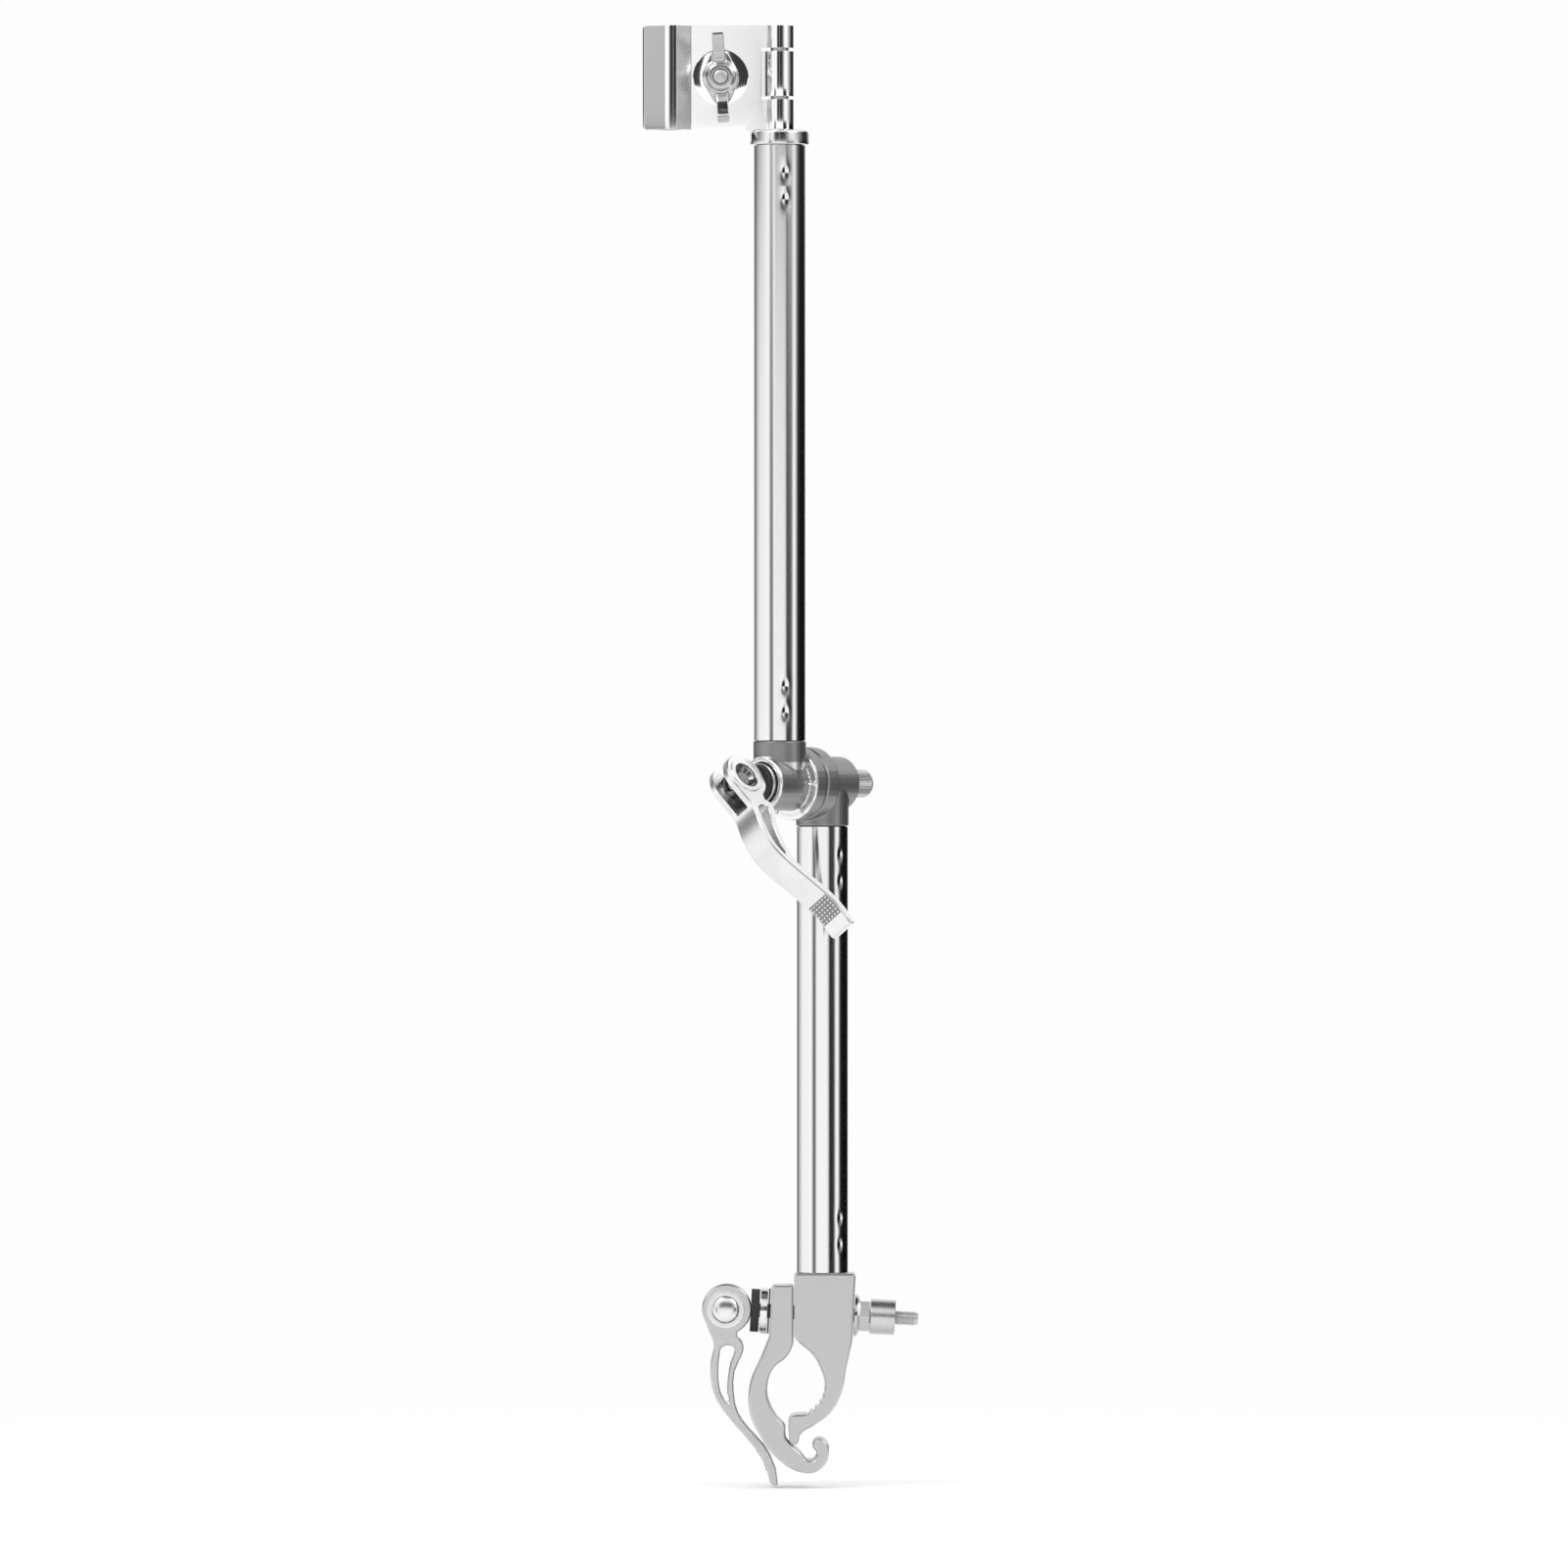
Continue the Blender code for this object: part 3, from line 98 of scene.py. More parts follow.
@dataclass(frozen=True)
class Finish:
    """A procedural finish: tone and roughness, both varied slightly by the grain."""

    name: str
    slot: str
    tone: float
    roughness: float
    grain: Grain
    metallic: float = 1.0
    spread: float = 0.05
    bump: float = 0.02

    def stretch(self) -> tuple[float, float, float]:
        """Scale of the grain's noise along X, Y and Z, in cells per metre."""
        return {
            Grain.POLISHED: (2600.0, 2600.0, 60.0),
            Grain.CAST: (2400.0, 2400.0, 2400.0),
            Grain.TURNED: (5200.0, 90.0, 90.0),
            Grain.MOULDED: (1500.0, 1500.0, 1500.0),
        }[self.grain]

    def material(self) -> bpy.types.Material:
        """Make the finish's material, or return it if it is already there.

        Returns:
            A Principled material whose tone, roughness and bump read Object coordinates.
        """
        if self.name in bpy.data.materials:
            return bpy.data.materials[self.name]
        material = bpy.data.materials.new(self.name)
        material.use_nodes = True
        tree = material.node_tree
        shader = tree.nodes["Principled BSDF"]
        shader.inputs["Metallic"].default_value = self.metallic
        place = tree.nodes.new("ShaderNodeTexCoord")
        mapping = tree.nodes.new("ShaderNodeMapping")
        mapping.inputs["Scale"].default_value = self.stretch()
        tree.links.new(place.outputs["Object"], mapping.inputs["Vector"])
        fine = self._noise(tree, mapping.outputs["Vector"], 1.0)
        broad = self._noise(tree, place.outputs["Object"], BROAD_CELLS)
        tone = self._spread(tree, broad, self.tone, (1 - self.spread, 1 + self.spread))
        tree.links.new(tone, shader.inputs["Base Color"])
        rough = self._spread(tree, fine, self.roughness, ROUGHNESS_SHARES)
        tree.links.new(rough, shader.inputs["Roughness"])
        bump = tree.nodes.new("ShaderNodeBump")
        bump.inputs["Strength"].default_value = self.bump
        bump.inputs["Distance"].default_value = BUMP_DEPTH
        tree.links.new(fine, bump.inputs["Height"])
        tree.links.new(bump.outputs["Normal"], shader.inputs["Normal"])
        return material

    @staticmethod
    def _noise(tree: NodeTree, vector: Socket, scale: float) -> Socket:
        """Noise on a coordinate.

        Args:
            tree: The material's nodes.
            vector: The coordinate to read.
            scale: Cells per unit of that coordinate.

        Returns:
            The noise's value socket.
        """
        noise = tree.nodes.new("ShaderNodeTexNoise")
        noise.inputs["Scale"].default_value = scale
        noise.inputs["Detail"].default_value = NOISE_DETAIL
        tree.links.new(vector, noise.inputs["Vector"])
        return noise.outputs["Fac"]

    @staticmethod
    def _spread(
        tree: NodeTree, value: Socket, middle: float, shares: tuple[float, float]
    ) -> Socket:
        """Vary a value with a noise.

        Args:
            tree: The material's nodes.
            value: The noise to read.
            middle: The value to vary.
            shares: What it is multiplied by where the noise is low, and where it is high.

        Returns:
            The mapped value's socket.
        """
        mapped = tree.nodes.new("ShaderNodeMapRange")
        for end, noise, share in zip(("Min", "Max"), NOISE_MIDDLE, shares):
            mapped.inputs["From " + end].default_value = noise
            mapped.inputs["To " + end].default_value = middle * share
        tree.links.new(value, mapped.inputs["Value"])
        return mapped.outputs["Result"]


STAINLESS = "polished_stainless"
ALLOY = "satin_alloy"
CASTING = "grey_casting"
ZINC = "zinc_steel"

MIRROR_STEEL = Finish(
    "polished_stainless", STAINLESS, 0.97, 0.015, Grain.POLISHED, spread=0.015, bump=0.0)
SHEET_STEEL = Finish(
    "polished_sheet", STAINLESS, 0.95, 0.018, Grain.POLISHED, spread=0.02, bump=0.0)
# The fold's near slope: a rougher sheet whose darker tone is painted shade.
BRUSHED_SHEET_PAINTED_SHADE = Finish("brushed_sheet_painted_shade", STAINLESS, 0.55, 0.26, Grain.CAST, spread=0.02, bump=0.01)
SATIN_ALLOY = Finish("satin_alloy", ALLOY, 0.52, 0.34, Grain.CAST, spread=0.06, bump=0.10)
# The lever alloy with its tone lowered for the clamp's lever: the darker tone is painted shade.
CLAMP_LEVER_ALLOY_PAINTED_SHADE = Finish(
    "clamp_lever_alloy_painted_shade", ALLOY, 0.63, 0.30, Grain.CAST, spread=0.05, bump=0.08)
LEVER_ALLOY = Finish("lever_alloy", ALLOY, 0.82, 0.30, Grain.CAST, spread=0.05, bump=0.08)
GREY_CASTING = Finish("grey_casting", CASTING, 0.30, 0.42, Grain.CAST, spread=0.10, bump=0.22)
# Bright faces on the joint head: a machined finish on its rim and shoulder, a painted highlight on
# its ribs.
MACHINED_AND_PAINTED_HIGHLIGHT = Finish("machined_face_and_painted_highlight", CASTING, 0.93, 0.30, Grain.CAST, spread=0.03, bump=0.04)
CAST_CHROME = Finish("chromed_casting", ZINC, 0.58, 0.15, Grain.POLISHED, spread=0.04, bump=0.0)
DOME_STEEL = Finish("domed_pin", ZINC, 0.80, 0.22, Grain.POLISHED, spread=0.03, bump=0.0)
ZINC_STEEL = Finish("zinc_steel", ZINC, 0.80, 0.12, Grain.TURNED, spread=0.04, bump=0.02)
TURNED_STEEL = Finish("turned_steel", ZINC, 0.62, 0.30, Grain.TURNED, spread=0.05, bump=0.10)
# Dark steel on the joint's trunnion; under the levers' thumb ribs the same dark finish is painted
# shade.
DARK_STEEL_AND_PAINTED_SHADE = Finish("dark_steel_and_painted_shade", ZINC, 0.26, 0.24, Grain.TURNED, spread=0.06, bump=0.04)
NYLON = Finish("black_nylon", "black_nylon", 0.012, 0.30, Grain.MOULDED, metallic=0.0, bump=0.03)
RUBBER = Finish("black_rubber", "black_rubber", 0.010, 0.60, Grain.MOULDED, metallic=0.0, bump=0.08)


# Shapes

def seat(origin: Sequence[float], z_axis: Sequence[float], x_hint: Sequence[float]) -> Matrix:
    """Matrix of a local frame.

    Args:
        origin: The frame's origin.
        z_axis: Direction of its Z axis.
        x_hint: Direction towards which its X axis lies.

    Returns:
        The frame's 4x4 matrix.
    """
    up = Vector(z_axis).normalized()
    side = up.cross(Vector(x_hint)).normalized()
    matrix = Matrix((side.cross(up), side, up)).transposed().to_4x4()
    matrix.translation = Vector(origin)
    return matrix


def lathe(profile: Profile, steps: int = 96) -> Shape:
    """Turn a closed or axis-to-axis profile about Z.

    Args:
        profile: (radius, height) points in order; a ring's profile ends where it starts.
        steps: Faces round the axis.

    Returns:
        The turned shape, with its normals facing out.
    """
    shape = bmesh.new()
    knots = [shape.verts.new((radius, 0, height)) for radius, height in profile]
    edges = [shape.edges.new(pair) for pair in zip(knots, knots[1:])]
    bmesh.ops.spin(
        shape, geom=knots + edges, cent=(0, 0, 0), axis=(0, 0, 1), dvec=(0, 0, 0),
        angle=math.tau, steps=steps, use_merge=True, use_normal_flip=False, use_duplicate=False)
    bmesh.ops.remove_doubles(shape, verts=shape.verts, dist=1e-7)
    bmesh.ops.recalc_face_normals(shape, faces=shape.faces)
    return shape


def extruded(outline: Profile, low: float, high: float, place: Matrix | None = None) -> Shape:
    """Raise a flat outline into a closed block.

    Args:
        outline: (x, y) points in order.
        low: Height of its lower face along local Z.
        high: Height of its upper face.
        place: The frame that the block is moved to.

    Returns:
        The block.
    """
    shape = bmesh.new()
    foot = shape.faces.new([shape.verts.new((x, y, low)) for x, y in outline])
    raised = bmesh.ops.extrude_face_region(shape, geom=[foot])["geom"]
    verts = [item for item in raised if isinstance(item, bmesh.types.BMVert)]
    bmesh.ops.translate(shape, vec=(0, 0, high - low), verts=verts)
    bmesh.ops.recalc_face_normals(shape, faces=shape.faces)
    if place is not None:
        bmesh.ops.transform(shape, matrix=place, verts=shape.verts)
    return shape


def cylinder(radius: float, low: float, high: float, place: Matrix | None = None) -> Shape:
    """Round bar along local Z, as wide as the hole that it is to cut."""
    shape = lathe(((0, low), (radius, low), (radius, high), (0, high)), steps=64)
    if place is not None:
        bmesh.ops.transform(shape, matrix=place, verts=shape.verts)
    return shape


def scaled(profile: Profile) -> list[tuple[float, float]]:
    """Turn a profile in millimetres into metres."""
    return [(radius * MM, height * MM) for radius, height in profile]


def washer(bore: float, outer: float, low: float, high: float) -> Profile:
    """Closed profile of a plain ring, starting in the middle of its bore."""
    middle = (low + high) / 2
    return ((bore, middle), (bore, high), (outer, high), (outer, low), (bore, low), (bore, middle))


def rounded(profile: Profile, radius: float, count: int = 3) -> list[tuple[float, float]]:
    """Round the inner corners of an open profile.

    Args:
        profile: (radius, height) points.
        radius: How far from each corner its rounding starts.
        count: Straight stretches that make one rounding.

    Returns:
        The profile with its corners cut by short curves.
    """
    path = [Vector(profile[0])]
    for before, here, after in zip(profile, profile[1:], profile[2:]):
        corner = Vector(here)
        back = Vector(before) - corner
        ahead = Vector(after) - corner
        start = corner + back.normalized() * min(radius, back.length * 0.45)
        end = corner + ahead.normalized() * min(radius, ahead.length * 0.45)
        for index in range(count + 1):
            share = index / count
            path.append(start.lerp(corner, share).lerp(corner.lerp(end, share), share))
    path.append(Vector(profile[-1]))
    return [(point.x, point.y) for point in path]


def dress(
    name: str, shape: Shape, finish: Finish, body: str,
    stands_for: Sequence[str] = (), place: Matrix | None = None, sharp: float = 35.0,
) -> bpy.types.Object:
    """Turn a shape into a finished piece that rides on a body.

    Args:
        name: The piece's name.
        shape: Its shape, which is freed here.
        finish: Its finish.
        body: The body that it moves with.
        stands_for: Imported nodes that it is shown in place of.
        place: Where the shape's own frame sits; the object itself stays at the origin.
        sharp: Edges that turn by more than this many degrees stay crisp.

    Returns:
        The new object.
    """
    if place is not None:
        bmesh.ops.transform(shape, matrix=place, verts=shape.verts)
    mesh = bpy.data.meshes.new(name)
    shape.to_mesh(mesh)
    shape.free()
    mesh.materials.append(finish.material())
    mesh.shade_smooth()
    mesh.set_sharp_from_angle(angle=math.radians(sharp))
    piece = bpy.data.objects.new(name, mesh)
    bpy.context.scene.collection.objects.link(piece)
    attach(piece, body)
    if stands_for:
        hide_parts(*stands_for)
    LOG.info("%s: %d faces on %s", name, len(mesh.polygons), body)
    return piece


def merged_copy(node: str) -> Shape:
    """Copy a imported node's mesh with its loose triangles joined into whole faces.

    Args:
        node: The node's name.

    Returns:
        The copy.
    """
    shape = bmesh.new()
    shape.from_mesh(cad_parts[node].data)
    bmesh.ops.remove_doubles(shape, verts=shape.verts, dist=WELD)
    bmesh.ops.dissolve_limit(
        shape, angle_limit=FLAT, verts=shape.verts, edges=shape.edges, delimit={"NORMAL"})
    return shape


def soften(shape: Shape, width: float, segments: int = 2, angle: float = 30.0) -> None:
    """Round the sharp edges of a shape.

    Args:
        shape: The shape to change.
        width: Width of the rounding.
        segments: Faces across it.
        angle: Edges that turn by more than this many degrees are rounded.
    """
    shape.edges.ensure_lookup_table()
    turned = math.radians(angle)
    edges = [edge for edge in shape.edges if edge.is_manifold and edge.calc_face_angle(0) > turned]
    bmesh.ops.bevel(
        shape, geom=edges, offset=width, offset_type="OFFSET", segments=segments, profile=0.5,
        affect="EDGES", clamp_overlap=True, material=-1, loop_slide=True)


def even_normals(piece: bpy.types.Object) -> None:
    """Let a piece's large flat faces keep their own direction where they meet roundings."""
    weighted = piece.modifiers.new("Even normals", "WEIGHTED_NORMAL")
    weighted.keep_sharp = True
    weighted.weight = 80


def remade(piece: bpy.types.Object) -> Shape:
    """Take a piece's shape with its modifiers applied, and remove the piece.

    Args:
        piece: A working object.

    Returns:
        Its evaluated shape.
    """
    bpy.context.view_layer.update()
    depsgraph = bpy.context.evaluated_depsgraph_get()
    shape = bmesh.new()
    shape.from_mesh(piece.evaluated_get(depsgraph).to_mesh())
    bpy.data.objects.remove(piece, do_unlink=True)
    return shape


def working(shape: Shape) -> bpy.types.Object:
    """Put a shape into the scene for modifiers to work on; the shape is freed.

    Args:
        shape: The shape.

    Returns:
        A plain object that remade() removes again.
    """
    mesh = bpy.data.meshes.new("working")
    shape.to_mesh(mesh)
    shape.free()
    piece = bpy.data.objects.new("working", mesh)
    bpy.context.scene.collection.objects.link(piece)
    return piece


def combined(shape: Shape, tools: Sequence[Shape], operation: str) -> Shape:
    """Join tools to a shape, or cut them out of it.

    Args:
        shape: The shape that is changed; it is freed.
        tools: The other shapes; they are freed too.
        operation: UNION or DIFFERENCE.

    Returns:
        The combined shape.
    """
    piece = working(shape)
    others = [working(tool) for tool in tools]
    for other in others:
        step = piece.modifiers.new("Combine", "BOOLEAN")
        step.operation = operation
        step.object = other
    result = remade(piece)
    for other in others:
        bpy.data.objects.remove(other, do_unlink=True)
    return result


def drilled(
    shape: Shape, radius: float, low: float, high: float, place: Matrix | None = None
) -> Shape:
    """Cut a round hole along local Z into a shape, which is freed."""
    return combined(shape, [cylinder(radius, low, high, place)], "DIFFERENCE")


def cast(shape: Shape, voxel: float, rounds: int) -> Shape:
    """Give a shape the rounded corners and fillets of a casting.

    Args:
        shape: A closed shape; it is freed.
        voxel: Size of the faces that it is remade with.
        rounds: How often its vertices are evened out.

    Returns:
        The cast shape.
    """
    piece = working(shape)
    remesh = piece.modifiers.new("Remesh", "REMESH")
    remesh.mode = "VOXEL"
    remesh.voxel_size = voxel
    result = remade(piece)
    for _ in range(rounds):
        bmesh.ops.smooth_vert(
            result, verts=result.verts, factor=0.5, use_axis_x=True, use_axis_y=True,
            use_axis_z=True)
    return result


# The arm

@dataclass(frozen=True)
class CrimpedTube:
    """Polished tube with two punched dimples near each end.

    The dimple and the shallow hollow round it are (depth, width, length).
    """

    node: str
    body: str
    crimp_turn: float
    radius: float = 11.0 * MM
    wall: float = 1.0 * MM
    first_crimp: float = 11.9 * MM
    crimp_pitch: float = 11.2 * MM
    dimple: tuple[float, float, float] = (0.32 * MM, 1.10 * MM, 2.1 * MM)
    hollow: tuple[float, float, float] = (0.10 * MM, 2.0 * MM, 4.0 * MM)
    steps: int = 240
    fine_row: float = 0.28 * MM
    plain_rows: int = 6
    crimped_side: float = 0.7 * radius

    def heights(self, low: float, high: float) -> list[float]:
        """Heights of the rings of faces: close together over the crimps, else far apart.

        Args:
            low: The tube's lower end.
            high: Its upper end.

        Returns:
            The heights in order.
        """
        zone = self.first_crimp * 2 + self.crimp_pitch
        fine = [self.fine_row * index for index in range(int(zone / self.fine_row) + 1)]
        plain = high - low - 2 * zone
        middle = [low + zone + plain * row / self.plain_rows for row in range(1, self.plain_rows)]
        return [low + step for step in fine] + middle + [high - step for step in reversed(fine)]

    def sunk(self, across: float, along: float) -> float:
        """How deep the wall is pressed in at a place.

        Args:
            across: Distance from the line of crimps round the tube.
            along: Distance from the nearest crimp along the tube.

        Returns:
            The depth of the punched dimple and of the hollow round it.
        """
        return sum(
            depth * math.exp(-(across / width) ** 2 - (along / length) ** 2)
            for depth, width, length in (self.dimple, self.hollow))

    def build(self) -> None:
        """Make the tube's outer skin from rings, close it with its bore, and dress it."""
        low_corner, high_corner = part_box(self.node)
        centre = (low_corner + high_corner) / 2
        low, high = low_corner.z, high_corner.z
        starts = (low + self.first_crimp, low + self.first_crimp + self.crimp_pitch)
        crimps = [*starts, *(low + high - start for start in starts)]
        shape = bmesh.new()
        made = bmesh.ops.create_circle(shape, segments=self.steps, radius=self.radius)
        first_edges = list({edge for vert in made["verts"] for edge in vert.link_edges})
        rows = self.heights(low, high)
        bmesh.ops.translate(shape, vec=(0, 0, rows[0]), verts=made["verts"])
        edges = first_edges
        for before, height in zip(rows, rows[1:]):
            edges = self._next_ring(shape, edges, (0, 0, height - before), 1.0)
        inner = 1 - self.wall / self.radius
        edges = self._next_ring(shape, edges, (0, 0, 0), inner)
        edges = self._next_ring(shape, edges, (0, 0, low - high), 1.0)
        bmesh.ops.bridge_loops(shape, edges=first_edges + edges)
        out = Vector((math.sin(self.crimp_turn), -math.cos(self.crimp_turn), 0))
        around = Vector((out.y, -out.x, 0))
        for vert in shape.verts:
            flat = Vector((vert.co.x, vert.co.y, 0))
            if flat.dot(out) < self.crimped_side:
                continue
            across = math.atan2(flat.dot(around), flat.dot(out)) * self.radius
            along = min((place - vert.co.z for place in crimps), key=abs)
            vert.co -= flat.normalized() * self.sunk(across, along)
        bmesh.ops.recalc_face_normals(shape, faces=shape.faces)
        bmesh.ops.translate(shape, vec=(centre.x, centre.y, 0), verts=shape.verts)
        dress(self.node + "_skin", shape, MIRROR_STEEL, self.body, (self.node,), sharp=50)

    @staticmethod
    def _next_ring(
        shape: Shape, edges: list[bmesh.types.BMEdge], shift: Sequence[float], scale: float
    ) -> list[bmesh.types.BMEdge]:
        """Extrude a ring of edges.

        Args:
            shape: The tube's mesh.
            edges: The ring to extrude.
            shift: How far the new ring moves.
            scale: How much wider than the last ring the new one is.

        Returns:
            The new ring's edges.
        """
        grown = bmesh.ops.extrude_edge_only(shape, edges=edges)["geom"]
        verts = [item for item in grown if isinstance(item, bmesh.types.BMVert)]
        bmesh.ops.translate(shape, vec=shift, verts=verts)
        bmesh.ops.scale(shape, vec=(scale, scale, 1), verts=verts)
        return [item for item in grown if isinstance(item, bmesh.types.BMEdge)]


@dataclass(frozen=True)
class ToothedJoint:
    """Both castings of the joint, the head with bright machined faces and painted highlights on its
    ribs.

    Places on the head are measured along the joint's axis and out from it.
    """

    voxel: float = 0.36 * MM
    barrel_radius: float = 11.5 * MM
    barrel_end: float = 11.5 * MM
    barrel_bore: float = 9.2 * MM
    shoulder: float = -6.4 * MM
    half_height: float = 16.2 * MM
    neck_foot: float = 9.0 * MM
    neck_half_width: float = 11.3 * MM

    def build(self) -> None:
        """Make the castings, the machined faces on the head and the painted highlights on its ribs.
        """
        for node, body in (("joint_base", "lower_arm"), ("joint_head", "upper_arm")):
            shape = cast(merged_copy(node), self.voxel, rounds=3)
            piece = dress(node + "_casting", shape, GREY_CASTING, body, (node,), sharp=60)
            if node == "joint_head":
                self._machine_and_paint_highlights(piece)

    def _machine_and_paint_highlights(self, piece: bpy.types.Object) -> None:
        """Give the head's barrel rim and shoulder their bright machined finish, and paint
        highlights on its ribs in the same bright material.

        Args:
            piece: The head casting.
        """
        piece.data.materials.append(MACHINED_AND_PAINTED_HIGHLIGHT.material())
        for face in piece.data.polygons:
            place = face.center - HEAD_CENTRE
            height = place.dot(JOINT_OUT)
            radius = (place - JOINT_OUT * height).length
            facing = face.normal.dot(JOINT_OUT)
            on_rim = (
                facing > 0.3 and height > self.barrel_end - 1.2 * MM
                and self.barrel_bore < radius < self.barrel_radius + 0.1 * MM)
            on_shoulder = (
                facing > 0.5 and abs(height - self.shoulder) < 1.0 * MM
                and radius > self.barrel_radius)
            # The ribs' bright faces are painted highlights.
            painted_rib_highlight = height > self.shoulder + 1.2 * MM and radius > self.barrel_radius + 1.0 * MM
            on_neck = place.z > self.neck_foot and abs(place.dot(JOINT_SIDE)) < self.neck_half_width
            on_head = abs(place.z) < self.half_height and not on_neck
            if on_rim or (on_head and (on_shoulder or painted_rib_highlight)):
                face.material_index = 1


# Turned pieces

SADDLE_RADIUS = 10.9 * MM
ROD_HOLE_RADIUS = 3.3 * MM


@dataclass(frozen=True)
class Turned:
    """A round piece made on a lathe, with small roundings on its corners.

    Its sizes are in millimetres. A knurl is (low, high, depth): fine ridges along the axis on
    the outermost wall between two heights. A saddle is the height of the axis of the cam that
    it fits. A bored piece has a hole for a rod across it.
    """

    node: str
    body: str
    finish: Finish
    axis: Matrix
    profile: Profile
    edge: float = 0.18
    knurl: tuple[float, float, float] | None = None
    saddle: float | None = None
    bored: bool = False
    steps: int = 96

    def build(self) -> None:
        """Turn the piece, cut its ridges, saddle or cross hole, and dress it."""
        shape = lathe(rounded(scaled(self.profile), self.edge * MM), self.steps)
        if self.knurl:
            self._ridge(shape)
        if self.saddle is not None:
            across = seat((0, 0, self.saddle * MM), (0, 1, 0), (1, 0, 0))
            shape = drilled(shape, SADDLE_RADIUS, -20 * MM, 20 * MM, across)
        if self.bored:
            across = seat((0, 0, 0), (1, 0, 0), (0, 1, 0))
            shape = drilled(shape, ROD_HOLE_RADIUS, -7 * MM, 7 * MM, across)
        piece = dress(
            self.node + "_turned", shape, self.finish, self.body, (self.node,), self.axis, sharp=20)
        even_normals(piece)

    def _ridge(self, shape: Shape) -> None:
        """Press every other column of the outermost wall in.

        Args:
            shape: The turned shape.
        """
        low, high, depth = (value * MM for value in self.knurl)
        outer = max(radius for radius, _ in self.profile) * MM
        for vert in shape.verts:
            radius = math.hypot(vert.co.x, vert.co.y)
            column = round(math.atan2(vert.co.y, vert.co.x) / math.tau * self.steps)
            if low <= vert.co.z <= high and radius > outer - 0.05 * MM and column % 2:
                vert.co.x *= 1 - depth / radius
                vert.co.y *= 1 - depth / radius


def threaded(
    radius: float, low: float, high: float, pitch: float = 1.0, depth: float = 0.42
) -> list[tuple[float, float]]:
    """Make the profile of a threaded stretch.

    Args:
        radius: Radius of the thread's crests, in millimetres as all its sizes.
        low: Height of its lower end.
        high: Height of its upper end, where the profile starts.
        pitch: Height of one turn: a flat crest, and a root a little below its middle.
        depth: How deep the roots are.

    Returns:
        The profile's points.
    """
    points = []
    for turn in range(int((high - low) / pitch)):
        top = high - turn * pitch
        points += [
            (radius, top), (radius, top - pitch * 0.25), (radius - depth, top - pitch * 0.62)]
    return points


def domed(radius: float, foot: float, rise: float, count: int) -> list[tuple[float, float]]:
    """Make the profile of a domed end.

    Args:
        radius: Radius of the dome's foot, in millimetres as all its sizes.
        foot: Height of its foot.
        rise: How far its tip, where the profile starts, stands above its foot.
        count: Straight stretches from the tip to the foot.

    Returns:
        The profile's points.
    """
    turns = [math.pi / 2 * index / count for index in range(count + 1)]
    return [(radius * math.sin(turn), foot + rise * math.cos(turn)) for turn in turns]


# Directions and frames of the skewers, levers and bolt; a frame's Z is its piece's axis
SKEWER_TILT = math.radians(3)
JOINT_TURN = math.radians(42)
LEVER_SWIVEL = math.radians(34)
JOINT_OUT = Vector((-math.sin(JOINT_TURN), -math.cos(JOINT_TURN), 0))
JOINT_SIDE = Vector((0, 0, 1)).cross(JOINT_OUT)
LEVER_HANG = Vector((0, 0, -math.cos(LEVER_SWIVEL))) + JOINT_SIDE * math.sin(LEVER_SWIVEL)
BASE_CENTRE = Vector((11.1, 0, 256.4)) * MM
HEAD_CENTRE = BASE_CENTRE + JOINT_OUT * 27.1 * MM
CLAMP_OUT = Vector((-math.cos(SKEWER_TILT), 0, math.sin(SKEWER_TILT)))
CLAMP_ACROSS = Vector((math.sin(SKEWER_TILT), 0, math.cos(SKEWER_TILT)))
CLAMP_AXIS = seat((0, 0, 31.55 * MM), CLAMP_OUT, CLAMP_ACROSS)
BASE_AXIS = seat(BASE_CENTRE, JOINT_OUT, (0, 0, 1))
HEAD_AXIS = seat(HEAD_CENTRE, JOINT_OUT, -LEVER_HANG)
CLAMP_LEVER = seat(CLAMP_AXIS @ Vector((0, 0, 30.1 * MM)), (0, -1, 0), (1, 0, 0))
JOINT_LEVER = seat(HEAD_AXIS @ Vector((0, 0, 27.0 * MM)), -HEAD_AXIS.col[1].to_3d(), -JOINT_OUT)
BOLT_AXIS = seat(
    Vector((HEAD_CENTRE.x - 25 * MM, HEAD_CENTRE.y, 555.4 * MM)), (0, -1, 0), (0, 0, 1))

DOME = domed(5.5, 6.3, 1.8, 12)
FAR_DOME = [(radius, -height) for radius, height in reversed(DOME)]
SOCKET = [(0, 3.9), (3.2, 4.2), (4.6, 5.9), (5.1, 6.2), (5.5, 5.9)]
CLAMP_ROD = [
    (0, 33.1), (2.4, 33.1), (3.0, 32.5), *threaded(3.0, -51.0, -41.9), (2.6, -51.3),
    (2.2, -51.8), (0, -51.8)]
BOLT = [
    *domed(3.0, 12.1, 0.8, 6), (3.0, -2.8), (5.8, -2.8), (5.8, -4.0), (4.64, -6.0),
    (2.32, -6.8), (0, -6.8)]

